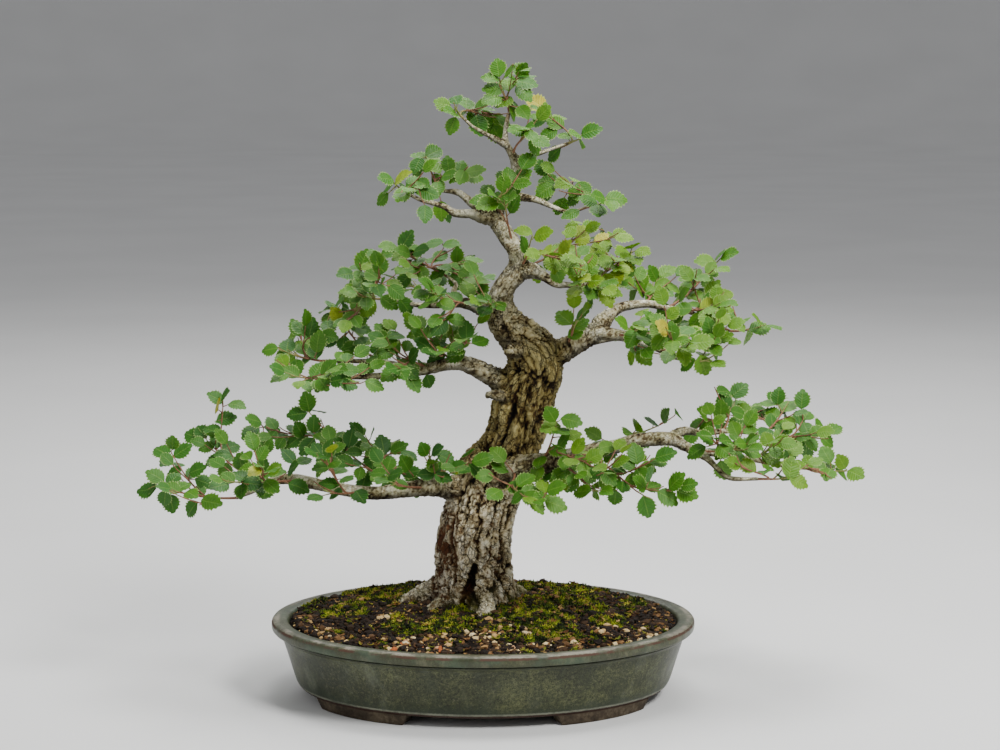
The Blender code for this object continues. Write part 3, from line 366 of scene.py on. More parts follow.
# Patches of moss on the bed: (across px, down px, half width m, half depth m)
MOSS_PATCHES: list[Knot] = [
    (530, 617, 0.046, 0.052), (582, 606, 0.042, 0.044), (556, 588, 0.056, 0.036), (436, 589, 0.046, 0.044),
    (348, 611, 0.032, 0.034), (398, 598, 0.044, 0.036), (314, 604, 0.014, 0.030), (490, 606, 0.050, 0.050),
    (452, 626, 0.028, 0.030), (404, 628, 0.022, 0.026), (632, 603, 0.018, 0.020), (480, 580, 0.060, 0.040),
    (560, 636, 0.038, 0.020), (520, 640, 0.024, 0.012), (610, 622, 0.024, 0.018), (376, 592, 0.040, 0.030),
]


def srgb(red: float, green: float, blue: float) -> tuple[float, float, float, float]:
    """Turns a colour given in 0 to 255 display values into linear light.

    Args:
        red: Red, 0 to 255.
        green: Green, 0 to 255.
        blue: Blue, 0 to 255.

    Returns:
        The linear colour, with an alpha of 1.
    """
    linear = []
    for value in (red, green, blue):
        share = value / 255
        linear.append(share / 12.92 if share <= 0.04045 else ((share + 0.055) / 1.055) ** 2.4)
    return (*linear, 1.0)


def smoothstep(low: float, high: float, value: float) -> float:
    """Rises smoothly from 0 at low to 1 at high."""
    share = min(1.0, max(0.0, (value - low) / (high - low)))
    return share * share * (3 - 2 * share)


def ripple(x: float, y: float, scale: float, layer: float) -> float:
    """Gives one layer of smooth noise over the ground plan, about -1 to 1."""
    return noise.noise(Vector((x * scale, y * scale, layer)))


def spin(angle: float, axis: str) -> Matrix:
    """Gives a turn about an axis."""
    return Matrix.Rotation(angle, 3, axis)


class Tool(Enum):
    """The select modes that the modelling steps use."""

    VERTS = "VERT"
    EDGES = "EDGE"
    FACES = "FACE"


class Workbench:
    """The few bpy.ops steps that most pieces share."""

    @staticmethod
    def clear_selection() -> None:
        """Leaves edit mode and deselects every object."""
        if bpy.context.object and bpy.context.object.mode != "OBJECT":
            bpy.ops.object.mode_set(mode="OBJECT")
        bpy.ops.object.select_all(action="DESELECT")

    @staticmethod
    def pick(*pieces: Piece) -> None:
        """Selects the pieces alone and makes the first one active."""
        Workbench.clear_selection()
        for piece in pieces:
            piece.select_set(True)
        bpy.context.view_layer.objects.active = pieces[0]

    @staticmethod
    def edit(mode: Tool = Tool.VERTS) -> None:
        """Enters edit mode on the active piece, with all of it selected."""
        bpy.ops.object.mode_set(mode="EDIT")
        bpy.ops.mesh.select_mode(type=mode.value)
        bpy.ops.mesh.select_all(action="SELECT")

    @staticmethod
    def leave() -> None:
        """Goes back to object mode."""
        bpy.ops.object.mode_set(mode="OBJECT")

    @staticmethod
    def tighten(piece: Piece, threshold: float, outward: bool = True) -> None:
        """Merges a piece's doubled points and turns its faces outward.

        Args:
            piece: The piece.
            threshold: The distance within which points are merged.
            outward: Whether the faces are turned too.
        """
        Workbench.pick(piece)
        Workbench.edit()
        bpy.ops.mesh.remove_doubles(threshold=threshold)
        if outward:
            bpy.ops.mesh.normals_make_consistent(inside=False)
        Workbench.leave()

    @staticmethod
    def sweep(name: str, runs: list[tuple[list[Vector], list[float]]], resolution: int) -> Piece:
        """Sweeps a circle along each run and makes them one closed mesh.

        Args:
            name: The piece's name.
            runs: Each run's points and its half thickness at each.
            resolution: How finely the circle is cut.

        Returns:
            The piece.
        """
        curve = bpy.data.curves.new(name, "CURVE")
        curve.dimensions = "3D"
        curve.bevel_depth = 1.0
        curve.bevel_resolution = resolution
        curve.use_fill_caps = True
        for points, radii in runs:
            spline = curve.splines.new("POLY")
            spline.points.add(len(points) - 1)
            for knot, point, radius in zip(spline.points, points, radii):
                knot.co = (*point, 1)
                knot.radius = radius
        piece = bpy.data.objects.new(name, curve)
        bpy.context.scene.collection.objects.link(piece)
        Workbench.pick(piece)
        bpy.ops.object.convert(target="MESH")
        piece = bpy.context.object
        Workbench.tighten(piece, 0.00001)
        return piece

    @staticmethod
    def newest(name: str) -> Piece:
        """Names the piece that the last primitive made.

        Args:
            name: The piece's name.

        Returns:
            The active object.
        """
        piece = bpy.context.object
        piece.name = name
        piece.data.name = name
        return piece

    @staticmethod
    def apply_place(piece: Piece) -> None:
        """Puts the object's place, turn and scale into its mesh."""
        Workbench.pick(piece)
        bpy.ops.object.transform_apply(location=True, rotation=True, scale=True)

    @staticmethod
    def modify(piece: Piece, kind: str, **settings: object) -> None:
        """Adds a modifier and applies it.

        Args:
            piece: The piece to finish.
            kind: The modifier's type.
            settings: Values of the modifier's settings.
        """
        Workbench.pick(piece)
        modifier = piece.modifiers.new(kind.lower(), kind)
        for key, value in settings.items():
            setattr(modifier, key, value)
        bpy.ops.object.modifier_apply(modifier=modifier.name)

    @staticmethod
    def fuse(piece: Piece, other: Piece, operation: str) -> None:
        """Joins or cuts the piece with the other one, which is then removed."""
        Workbench.modify(piece, "BOOLEAN", operation=operation, object=other, solver="EXACT")
        bpy.data.objects.remove(other, do_unlink=True)

    @staticmethod
    def join(name: str, pieces: list[Piece]) -> Piece:
        """Joins several pieces in one object.

        Args:
            name: The joined piece's name.
            pieces: The pieces, the first of which takes the others in.

        Returns:
            The joined piece.
        """
        Workbench.pick(*pieces)
        if len(pieces) > 1:
            bpy.ops.object.join()
        return Workbench.newest(name)

    @staticmethod
    def smooth(piece: Piece, angle: float = 180.0) -> None:
        """Shades the piece smooth, with sharp edges past an angle in degrees."""
        Workbench.pick(piece)
        if angle >= 180:
            bpy.ops.object.shade_smooth()
        else:
            bpy.ops.object.shade_smooth_by_angle(angle=math.radians(angle))

    @staticmethod
    def dress(piece: Piece, *finishes: Finish) -> None:
        """Replaces the piece's material slots."""
        piece.data.materials.clear()
        for finish in finishes:
            piece.data.materials.append(finish)

    @staticmethod
    def settle(piece: Piece, slot: str, *nodes: str) -> None:
        """Tells the frame what the piece rides on and hides the solids that it stands for."""
        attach(piece, "root")
        if nodes:
            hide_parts(*nodes)
        faces = len(piece.data.polygons)
        log.info("%s: %d faces, stands for %s", piece.name, faces, ", ".join(nodes) or "nothing")


@dataclass(frozen=True)
class PhotoView:
    """The photograph's camera, through which the tree's routes and leaves are read."""

    origin: Pixel = (0.0, 0.0)
    eye: Mark = (0.016, -2.190, 0.640)
    pitch_deg: float = 8.7
    focal_px: float = 2376.0
    middle_px: Pixel = (500.0, 375.0)
    picture_px: Pixel = (1000.0, 750.0)

    @classmethod
    def over_pot(cls) -> "PhotoView":
        """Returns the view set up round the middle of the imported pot."""
        low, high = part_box("pot")
        return cls(origin=((low[0] + high[0]) / 2, (low[1] + high[1]) / 2))

    def sight(self, across: float, down: float, depth: float) -> Vector:
        """Finds the point that the view shows at a pixel.

        Args:
            across: Pixels from the left.
            down: Pixels from the top.
            depth: Metres behind the pot's middle.

        Returns:
            The point in the frame.
        """
        pitch = math.radians(self.pitch_deg)
        right = (across - self.middle_px[0]) / self.focal_px
        up = (self.middle_px[1] - down) / self.focal_px
        forward = math.cos(pitch) + up * math.sin(pitch)
        rise = up * math.cos(pitch) - math.sin(pitch)
        reach = (depth - self.eye[1]) / forward
        return Vector((
            self.origin[0] + self.eye[0] + right * reach, self.origin[1] + depth, self.eye[2] + rise * reach
        ))

    def pixel(self, point: Vector) -> Pixel:
        """Finds the pixel at which the view shows a point."""
        pitch = math.radians(self.pitch_deg)
        aside = point.x - self.origin[0] - self.eye[0]
        ahead = point.y - self.origin[1] - self.eye[1]
        above = point.z - self.eye[2]
        forward = ahead * math.cos(pitch) - above * math.sin(pitch)
        up = ahead * math.sin(pitch) + above * math.cos(pitch)
        return (
            self.middle_px[0] + self.focal_px * aside / forward,
            self.middle_px[1] - self.focal_px * up / forward,
        )

    def set_up(self) -> None:
        """Places the camera at the photograph's angle."""
        lens = bpy.data.cameras.new("photo_view")
        lens.sensor_width = 36.0
        lens.lens = self.focal_px / self.picture_px[0] * lens.sensor_width
        lens.clip_end = 900.0
        camera = bpy.data.objects.new("photo_view", lens)
        camera.location = (self.origin[0] + self.eye[0], self.origin[1] + self.eye[1], self.eye[2])
        camera.rotation_euler = (math.radians(90 - self.pitch_deg), 0, 0)
        bpy.context.scene.collection.objects.link(camera)
        bpy.context.scene.camera = camera


class Mixer:
    """Builds one material's nodes, in short steps."""

    COLOUR_A = 6
    COLOUR_B = 7
    COLOUR_OUT = 2

    def __init__(self, name: str) -> None:
        """Starts a material with a Principled shader."""
        self.material = bpy.data.materials.new(name)
        self.material.use_nodes = True
        self.tree = self.material.node_tree
        self.shader = self.tree.nodes["Principled BSDF"]

    def add(self, kind: str, **settings: object) -> bpy.types.Node:
        """Adds a node.

        Args:
            kind: The node's type.
            settings: Values of the node's own settings.

        Returns:
            The node.
        """
        node = self.tree.nodes.new(kind)
        for key, value in settings.items():
            setattr(node, key, value)
        return node

    def wire(self, source: object, target: Socket) -> None:
        """Links a socket, or sets a constant, on an input."""
        if isinstance(source, Socket):
            self.tree.links.new(source, target)
        else:
            target.default_value = source

    def place(self, stretch: Mark = (1, 1, 1)) -> Socket:
        """Gives the object's own coordinates, stretched."""
        mapping = self.add("ShaderNodeMapping")
        mapping.inputs["Scale"].default_value = stretch
        self.wire(self.add("ShaderNodeTexCoord").outputs["Object"], mapping.inputs["Vector"])
        return mapping.outputs["Vector"]

    def axis(self, name: str) -> Socket:
        """Gives one of the object's own coordinates, X, Y or Z."""
        split = self.add("ShaderNodeSeparateXYZ")
        self.wire(self.place(), split.inputs[0])
        return split.outputs[name]

    def attribute(self, name: str, kind: str = "Fac") -> Socket:
        """Reads a number, or with the kind Vector coordinates, stored on the mesh."""
        return self.add("ShaderNodeAttribute", attribute_name=name).outputs[kind]

    def pattern(self, kind: str, scale: float, at: Socket | None, **settings: object) -> bpy.types.Node:
        """Adds a pattern.

        Args:
            kind: The node's type.
            scale: Repeats to the metre.
            at: The coordinates, or None for the object's own.
            settings: Values of the node's own settings.

        Returns:
            The node.
        """
        node = self.add(kind, **settings)
        self.wire(at or self.place(), node.inputs["Vector"])
        node.inputs["Scale"].default_value = scale
        return node

    def noise(
        self, scale: float, detail: float = 4.0, rough: float = 0.55, at: Socket | None = None
    ) -> Socket:
        """Gives a noise between 0 and 1."""
        node = self.pattern("ShaderNodeTexNoise", scale, at)
        node.inputs["Detail"].default_value = detail
        node.inputs["Roughness"].default_value = rough
        return node.outputs["Fac"]

    def reckon(self, operation: str, first: object, second: object = 0.0) -> Socket:
        """Does a sum on one or two numbers."""
        node = self.add("ShaderNodeMath", operation=operation)
        self.wire(first, node.inputs[0])
        self.wire(second, node.inputs[1])
        return node.outputs[0]

    def times(self, first: object, second: object) -> Socket:
        """Multiplies two numbers."""
        return self.reckon("MULTIPLY", first, second)

    def plus(self, first: object, second: object) -> Socket:
        """Adds two numbers."""
        return self.reckon("ADD", first, second)

    def span(self, value: object, low: float, high: float, start: float = 0.0, end: float = 1.0) -> Socket:
        """Maps low to start and high to end, smoothly and clamped."""
        node = self.add("ShaderNodeMapRange", interpolation_type="SMOOTHSTEP")
        settings = {"Value": value, "From Min": low, "From Max": high, "To Min": start, "To Max": end}
        for key, number in settings.items():
            self.wire(number, node.inputs[key])
        return node.outputs["Result"]

    def band(self, value: object, marks: Band) -> Socket:
        """Rises from 0 to 1 between the first two marks and falls back between the last two."""
        return self.times(self.span(value, marks[0], marks[1]), self.span(value, marks[3], marks[2]))

    def ramp(self, value: object, stops: list[Knot]) -> Socket:
        """Turns a number into a colour by stops of (place, red, green, blue)."""
        node = self.add("ShaderNodeValToRGB")
        self.wire(value, node.inputs["Fac"])
        marks = node.color_ramp.elements
        for mark, stop in ((marks[0], stops[0]), (marks[1], stops[-1])):
            mark.position, mark.color = stop[0], srgb(*stop[1:])
        for stop in stops[1:-1]:
            marks.new(stop[0]).color = srgb(*stop[1:])
        return node.outputs["Color"]

    def blend(self, share: object, first: object, second: object, how: str = "MIX") -> Socket:
        """Mixes two colours."""
        node = self.add("ShaderNodeMix", data_type="RGBA", blend_type=how)
        self.wire(share, node.inputs[0])
        self.wire(first, node.inputs[self.COLOUR_A])
        self.wire(second, node.inputs[self.COLOUR_B])
        return node.outputs[self.COLOUR_OUT]

    def around(self, value: Socket, size: float) -> Socket:
        """Swings a number of 0 to 1 about nought, by a size."""
        return self.times(self.reckon("SUBTRACT", value, 0.5), size)

    def warped(self, at: Socket, scale: float, amount: float) -> Socket:
        """Pushes coordinates about by a noise."""
        cloud = self.pattern("ShaderNodeTexNoise", scale, at)
        push = self.add("ShaderNodeVectorMath", operation="MULTIPLY_ADD")
        self.wire(cloud.outputs["Color"], push.inputs[0])
        push.inputs[1].default_value = (amount, amount, amount)
        self.wire(at, push.inputs[2])
        return push.outputs[0]

    def flakes(self, at: Socket, scale: float, crack: float) -> tuple[Socket, Socket]:
        """Breaks a surface into flakes.

        Args:
            at: The coordinates.
            scale: Flakes to the metre.
            crack: The cracks' width, as a share of a flake.

        Returns:
            The cracks, 1 in their middle, and each flake's own number of 0 to 1.
        """
        near = self.pattern("ShaderNodeTexVoronoi", scale, at, feature="F1")
        edge = self.pattern("ShaderNodeTexVoronoi", scale, at, feature="DISTANCE_TO_EDGE")
        return self.span(edge.outputs["Distance"], 0.0, crack, 1.0, 0.0), near.outputs["Color"]

    def finish(
        self, colour: object, roughness: object, bump: object = None, depth: float = 0.001,
        strength: float = 1.0,
        specular: float = 0.5,
    ) -> Finish:
        """Wires the shader.

        Args:
            colour: Base colour, a socket or a value.
            roughness: Roughness, a socket or a value.
            bump: Height of the fine relief, 0 to 1, or None.
            depth: The relief's depth in metres.
            strength: The relief's strength, 0 to 1.
            specular: The gloss level.

        Returns:
            The material.
        """
        self.wire(colour, self.shader.inputs["Base Color"])
        self.wire(roughness, self.shader.inputs["Roughness"])
        self.shader.inputs["Specular IOR Level"].default_value = specular
        if bump is not None:
            node = self.add("ShaderNodeBump")
            node.inputs["Distance"].default_value = depth
            node.inputs["Strength"].default_value = strength
            self.wire(bump, node.inputs["Height"])
            self.wire(node.outputs["Normal"], self.shader.inputs["Normal"])
        return self.material


@dataclass(frozen=True)
class GlazeFinish:
    """Grey-green mottled glaze, worn to bare clay along the rim and left off the feet, with painted shadow
    under the rim, a dark edge low on the body that is partly painted shadow, and painted highlights on the
    rim's top.
    """

    # Heights over the ground in metres
    rim_from: Pixel = (0.0622, 0.0640)
    # Band of the shadow painted in the groove under the rim
    painted_groove_shadow: Band = (0.0600, 0.0622, 0.0626, 0.0640)
    worn_line: Band = (0.0702, 0.0711, 0.0723, 0.0732)
    # Heights of the light painted on the rim's crest
    painted_crest_light: Pixel = (0.0722, 0.0738)
    # Heights of the highlight painted along the rim's top
    painted_rim_highlight: Pixel = (0.0724, 0.0733)
    lip: Band = (0.0120, 0.0130, 0.0136, 0.0152)
    # Band of the dark edge low on the body, partly painted shadow
    clay_edge_and_painted_shadow: Band = (0.0096, 0.0104, 0.0120, 0.0132)
    bare_from: Pixel = (0.0116, 0.0124)
    # Distances in from the outline in metres
    outer: Pixel = (0.0052, 0.0034)
    crown: Pixel = (0.0090, 0.0060)

    def make(self) -> Finish:
        """Returns the pot's material."""
        mix = Mixer("pot_glaze")
        cloud = mix.noise(17, 6, 0.62, mix.place((1, 1, 1.4)))
        fine = mix.noise(340, 6, 0.70)
        tall = mix.axis("Z")
        ragged = mix.plus(tall, mix.around(fine, 0.0022))
        low = mix.plus(tall, mix.around(fine, 0.0020))
        base = self.rim(mix, self.body(mix, cloud, fine, tall), tall, ragged)
        worn = mix.noise(44, 6, 0.72)
        # Painted highlight: a pale line along the outer edge of the rim's top, broken up by a noise
        painted_rim_highlight = mix.times(mix.span(ragged, *self.painted_rim_highlight), mix.span(mix.attribute("inset"), *self.crown))
        base = mix.blend(mix.times(painted_rim_highlight, mix.span(worn, 0.42, 0.60, 0.04, 0.66)), base, srgb(154, 146, 130))
        line = mix.times(mix.band(ragged, self.worn_line), mix.span(mix.attribute("inset"), *self.outer))
        wear = mix.times(line, mix.span(worn, 0.40, 0.56))
        base = mix.blend(mix.times(wear, 0.85), base, srgb(78, 50, 40))
        lip = mix.times(mix.band(low, self.lip), mix.span(worn, 0.38, 0.60, 0.15, 0.65))
        base = mix.blend(lip, base, srgb(150, 152, 132))
        bare = mix.span(low, *self.bare_from, 1.0, 0.0)
        clay = mix.ramp(mix.plus(mix.noise(90, 5, 0.6), mix.around(fine, 0.6)), [
            (0.28, 40, 33, 24), (0.5, 63, 53, 40), (0.72, 94, 83, 66),
        ])
        base = mix.blend(bare, base, clay)
        # A reddish-dark band low on the body: partly the pot's own darker edge, partly painted shadow where the
        # body meets its feet
        base = mix.blend(mix.times(mix.band(low, self.clay_edge_and_painted_shadow), 0.75), base, srgb(56, 34, 27))
        dull = mix.reckon("MAXIMUM", mix.times(wear, 0.4), mix.times(bare, 0.5))
        rough = mix.plus(mix.span(cloud, 0.3, 0.7, 0.30, 0.44), dull)
        relief = mix.plus(mix.times(cloud, 0.6), mix.times(fine, 0.4))
        return mix.finish(base, rough, relief, 0.0008, 0.45, 0.32)

    @staticmethod
    def body(mix: Mixer, cloud: Socket, fine: Socket, tall: Socket) -> Socket:
        """Gives the glaze's mottled green, frosted to the sides and pooled low down."""
        run = mix.noise(60, 4, 0.6, mix.place((1, 1, 0.16)))
        mottle = mix.plus(mix.noise(330, 6, 0.74), mix.around(cloud, 0.80))
        base = mix.ramp(mottle, [(0.32, 31, 36, 19), (0.5, 55, 59, 34), (0.68, 88, 92, 58)])
        base = mix.blend(mix.span(run, 0.44, 0.66, 0.0, 0.50), base, srgb(40, 48, 32))
        base = mix.blend(mix.span(fine, 0.54, 0.68, 0.0, 0.42), base, srgb(104, 104, 80))
        base = mix.blend(mix.span(mix.noise(900, 3, 0.6), 0.50, 0.64, 0.0, 0.8), base, srgb(16, 19, 10))
        frost = mix.span(mix.noise(34, 7, 0.72, mix.place((1, 1, 0.5))), 0.48, 0.70, 0.0, 0.34)
        aside = mix.reckon("ABSOLUTE", mix.axis("X"))
        base = mix.blend(mix.times(frost, mix.span(aside, 0.02, 0.16, 0.35, 1.0)), base, srgb(128, 134, 116))
        pooled = mix.span(mix.plus(tall, mix.around(cloud, 0.010)), 0.0125, 0.026, 0.6, 0.0)
        return mix.blend(pooled, base, srgb(42, 52, 38))

    def rim(self, mix: Mixer, base: Socket, tall: Socket, ragged: Socket) -> Socket:
        """Adds the rim's greys, its streaks, a painted shadow in the groove under it and painted light on its
        crest.
        """
        rim = mix.span(tall, *self.rim_from)
        base = mix.blend(mix.times(rim, 0.45), base, srgb(64, 66, 48))
        teal = mix.times(rim, mix.span(mix.noise(26, 5, 0.6), 0.46, 0.64, 0.0, 0.40))
        base = mix.blend(teal, base, srgb(70, 92, 74))
        streaks = mix.noise(110, 7, 0.78, mix.place((1, 1, 0.45)))
        streaky = mix.times(rim, mix.span(streaks, 0.48, 0.68, 0.0, 0.42))
        base = mix.blend(streaky, base, srgb(110, 108, 86))
        # Painted shadow: a dark band in the groove under the rim
        base = mix.blend(mix.times(mix.band(tall, self.painted_groove_shadow), 0.70), base, srgb(26, 30, 20))
        # Painted light: the rim's crest is made lighter, in streaks
        painted_crest_light = mix.times(mix.span(ragged, *self.painted_crest_light), mix.span(streaks, 0.42, 0.62, 0.1, 0.5))
        return mix.blend(painted_crest_light, base, srgb(96, 97, 78))


@dataclass(frozen=True)
class BarkFinish:
    """Grey-tan plates over dark furrows, smoother and redder on thin wood, mossy at the foot, with painted
    shade under the limbs, low on the trunk's left, in the clefts and partly in the furrows.
    """

    # Heights over the ground between which the trunk is golden, in metres
    golden: Band = (0.17, 0.23, 0.330, 0.365)
    # Across the frame, where the ruddy shade painted on the trunk's left side starts and is full, in metres
    painted_shade_left: Pixel = (-0.030, -0.056)

    def make(self) -> Finish:
        """Returns the wood's material."""
        mix = Mixer("elm_bark")
        plate = mix.attribute("plate")
        girth = mix.attribute("girth")
        tall = mix.axis("Z")
        grain = mix.attribute("grain", "Vector")
        patch = mix.noise(42, 5, 0.6)
        fine = mix.noise(460, 7, 0.78, grain)
        cracks, flake = mix.flakes(mix.warped(grain, 120, 0.008), 170, 0.085)
        chinks, chip = mix.flakes(mix.warped(grain, 300, 0.004), 430, 0.10)
        level = mix.plus(plate, mix.around(fine, 0.62))
        level = mix.plus(level, mix.around(flake, 0.30))
        level = mix.plus(level, mix.around(chip, 0.24))
        young, old = self.young(mix, level, grain), self.old(mix, level, patch, tall)
        colour = mix.blend(mix.span(girth, 0.0080, 0.0200), young, old)
        twig = mix.ramp(patch, [(0.35, 98, 60, 40), (0.65, 142, 98, 66)])
        colour = mix.blend(mix.span(girth, 0.0010, 0.0030), twig, colour)
        torn = mix.reckon("MAXIMUM", cracks, mix.times(chinks, 0.7))
        torn = mix.times(torn, mix.span(mix.noise(95, 4, 0.6, grain), 0.38, 0.54, 0.20, 1.0))
        torn_here = mix.times(torn, mix.span(girth, 0.003, 0.014, 0.25, 0.90))
        colour = mix.blend(torn_here, colour, srgb(30, 21, 13))
        # Painted shade: the limbs' undersides are darkened by how far their skin faces down
        painted_underside_shade = mix.times(mix.attribute("under"), mix.span(girth, 0.030, 0.018, 0.0, 0.80))
        colour = mix.blend(painted_underside_shade, colour, srgb(28, 19, 11))
        green = mix.ramp(fine, [(0.35, 38, 46, 12), (0.65, 108, 110, 34)])
        colour = mix.blend(mix.attribute("moss"), colour, green)
        relief = mix.plus(mix.times(fine, 0.5), mix.times(flake, 0.3))
        relief = mix.plus(relief, mix.times(chip, 0.15))
        relief = mix.reckon("SUBTRACT", relief, mix.times(torn, 0.6))
        return mix.finish(colour, mix.span(plate, 0.0, 1.0, 0.95, 0.84), relief, 0.0026, 0.9, 0.2)

    def old(self, mix: Mixer, level: Socket, patch: Socket, tall: Socket) -> Socket:
        """Gives old bark's colour: grey-tan, ruddy in the furrows, with ruddy shade painted low on the left,
        golden half way up.
        """
        # Low plates and furrows run to near black: partly the bark's own dark furrows, partly painted shade in
        # them
        old = mix.ramp(level, [
            (0.12, 12, 8, 4), (0.26, 42, 30, 17), (0.38, 108, 88, 58), (0.50, 184, 166, 124),
            (0.68, 228, 214, 176), (0.95, 252, 244, 220),
        ])
        # Ruddy patches of bark, with painted shade that makes the trunk's lower left side darker and ruddier
        left = mix.times(mix.span(mix.axis("X"), *self.painted_shade_left), mix.span(tall, 0.20, 0.16))
        ruddy_and_shade = mix.reckon("MAXIMUM", mix.span(patch, 0.50, 0.64, 0.0, 0.62), left)
        ruddy_and_shade = mix.times(ruddy_and_shade, mix.span(level, 0.85, 0.40, 0.25, 1.0))
        old = mix.blend(ruddy_and_shade, old, srgb(98, 58, 34))
        middle = mix.times(mix.band(tall, self.golden), 0.9)
        old = mix.blend(middle, old, srgb(164, 155, 98), "MULTIPLY")
        upper = mix.span(tall, *self.golden[2:], 0.0, 0.8)
        return mix.blend(upper, old, srgb(255, 252, 216), "MULTIPLY")

    @staticmethod
    def young(mix: Mixer, level: Socket, grain: Socket) -> Socket:
        """Gives smoother bark's colour: pale grey with dark bands and a green-grey film."""
        band = mix.noise(75, 5, 0.62, grain)
        smooth = mix.plus(mix.times(level, 0.30), mix.times(band, 0.95))
        young = mix.ramp(smooth, [
            (0.40, 18, 12, 7), (0.50, 60, 46, 28), (0.57, 126, 110, 78), (0.66, 200, 190, 152),
            (0.79, 244, 238, 212),
        ])
        film = mix.span(mix.noise(34, 4, 0.6), 0.46, 0.64, 0.0, 0.55)
        return mix.blend(film, young, srgb(150, 152, 96), "MULTIPLY")


@dataclass(frozen=True)
class LeafFinish:
    """A toothed leaf's face: green by its own tone, with a pale rib, sunk side veins and a light margin."""

    name: str = "leaf_face"
    under: bool = False
    veins: float = 8.0
    slant: float = 2.1

    def make(self) -> Finish:
        """Returns the leaf's material."""
        mix = Mixer(self.name)
        tone = mix.attribute("tone")
        split = mix.add("ShaderNodeSeparateXYZ")
        mix.wire(mix.add("ShaderNodeUVMap", uv_map="UVMap").outputs["UV"], split.inputs[0])
        out = mix.times(mix.reckon("ABSOLUTE", mix.reckon("SUBTRACT", split.outputs["X"], 0.5)), 2.0)
        run = mix.reckon("SUBTRACT", mix.times(split.outputs["Y"], self.veins), mix.times(out, self.slant))
        wave = mix.reckon("SINE", mix.times(run, math.tau))
        vein = mix.span(wave, 0.72, 1.0)
        rib = mix.span(out, 0.03, 0.09, 1.0, 0.0)
        mottle = mix.noise(190, 4, 0.6)
        colour = mix.ramp(tone, [
            (0.0, 34, 82, 26), (0.3, 46, 98, 14), (0.55, 70, 118, 10), (0.78, 104, 140, 14),
            (0.93, 150, 164, 32), (1.0, 180, 164, 48),
        ])
        colour = mix.blend(mix.span(mottle, 0.44, 0.68, 0.0, 0.35), colour, srgb(44, 90, 20))
        edge = mix.span(out, 0.80, 0.94, 0.0, 0.62)
        colour = mix.blend(edge, colour, srgb(168, 192, 108))
        colour = mix.blend(mix.times(vein, 0.07), colour, srgb(120, 164, 60))
        colour = mix.blend(mix.times(rib, 0.20), colour, srgb(140, 176, 70))
        if self.under:
            colour = mix.blend(0.40, colour, srgb(150, 176, 104))
        quilt = mix.reckon("SUBTRACT", mix.span(wave, -1.0, 1.0, 1.0, 0.0), mix.times(rib, 0.8))
        relief = mix.plus(mix.times(quilt, 0.8), mix.times(mottle, 0.3))
        rough = mix.span(mottle, 0.3, 0.7, 0.44, 0.60)
        made = mix.finish(colour, 0.66 if self.under else rough, relief, 0.0005, 0.35, 0.30)
        mix.shader.inputs["Subsurface Weight"].default_value = 0.08
        mix.shader.inputs["Subsurface Radius"].default_value = (0.0012, 0.0020, 0.0006)
        mix.shader.inputs["Subsurface Scale"].default_value = 1.0
        return made


@dataclass(frozen=True)
class TwigFinish:
    """Thin reddish-brown shoots, greener at the tips."""

    def make(self) -> Finish:
        """Returns the twigs' material."""
        mix = Mixer("young_twig")
        tip = mix.attribute("tone")
        grain = mix.noise(420, 4, 0.6)
        brown = mix.ramp(grain, [(0.35, 104, 66, 46), (0.65, 146, 104, 74)])
        green = mix.ramp(grain, [(0.35, 112, 118, 58), (0.65, 146, 146, 82)])
        return mix.finish(mix.blend(mix.span(tip, 0.55, 1.0), brown, green), 0.62, grain, 0.0004, 0.5, 0.35)


@dataclass(frozen=True)
class SoilFinish:
    """Dark crumbly soil, green where moss has spread."""

    def make(self) -> Finish:
        """Returns the soil's material."""
        mix = Mixer("dark_soil")
        crumb = mix.noise(330, 6, 0.7)
        patch = mix.noise(70, 4, 0.6)
        earth = mix.ramp(crumb, [(0.34, 8, 5, 3), (0.54, 24, 16, 9), (0.72, 58, 41, 25)])
        green = mix.ramp(crumb, [(0.34, 20, 26, 8), (0.56, 50, 62, 16), (0.74, 98, 112, 34)])
        veil = mix.times(mix.attribute("moss"), mix.span(patch, 0.34, 0.52))
        relief = mix.plus(mix.times(crumb, 0.8), mix.times(patch, 0.2))
        return mix.finish(mix.blend(veil, earth, green), 0.95, relief, 0.0030, 0.9, 0.2)


@dataclass(frozen=True)
class GritFinish:
    """Fired clay and stone grit in cream, tan, rust and grey-brown."""

    def make(self) -> Finish:
        """Returns the grit's material."""
        mix = Mixer("grit_grain")
        stops = [
            (0.0, 12, 8, 5), (0.26, 28, 19, 11), (0.46, 70, 49, 28), (0.60, 146, 106, 62),
            (0.72, 206, 172, 112), (0.92, 240, 220, 172), (1.0, 166, 90, 46),
        ]
        fine = mix.noise(760, 4, 0.65)
        colour = mix.ramp(mix.attribute("tone"), stops)
        colour = mix.blend(mix.span(fine, 0.45, 0.72, 0.0, 0.5), colour, srgb(84, 62, 44))
        return mix.finish(colour, 0.88, fine, 0.0007, 0.7, 0.3)


@dataclass(frozen=True)
class LitterFinish:
    """Dry leaf and bark scraps, rust to straw."""

    def make(self) -> Finish:
        """Returns the scraps' material."""
        mix = Mixer("dry_scraps")
        stops = [
            (0.0, 40, 26, 15), (0.35, 88, 56, 30), (0.55, 138, 98, 54), (0.72, 186, 152, 98),
            (0.80, 150, 138, 44), (1.0, 104, 116, 30),
        ]
        grain = mix.noise(640, 4, 0.6)
        colour = mix.ramp(mix.attribute("tone"), stops)
        colour = mix.blend(mix.span(grain, 0.45, 0.7, 0.0, 0.5), colour, srgb(70, 46, 28))
        return mix.finish(colour, 0.8, grain, 0.0004, 0.6, 0.3)


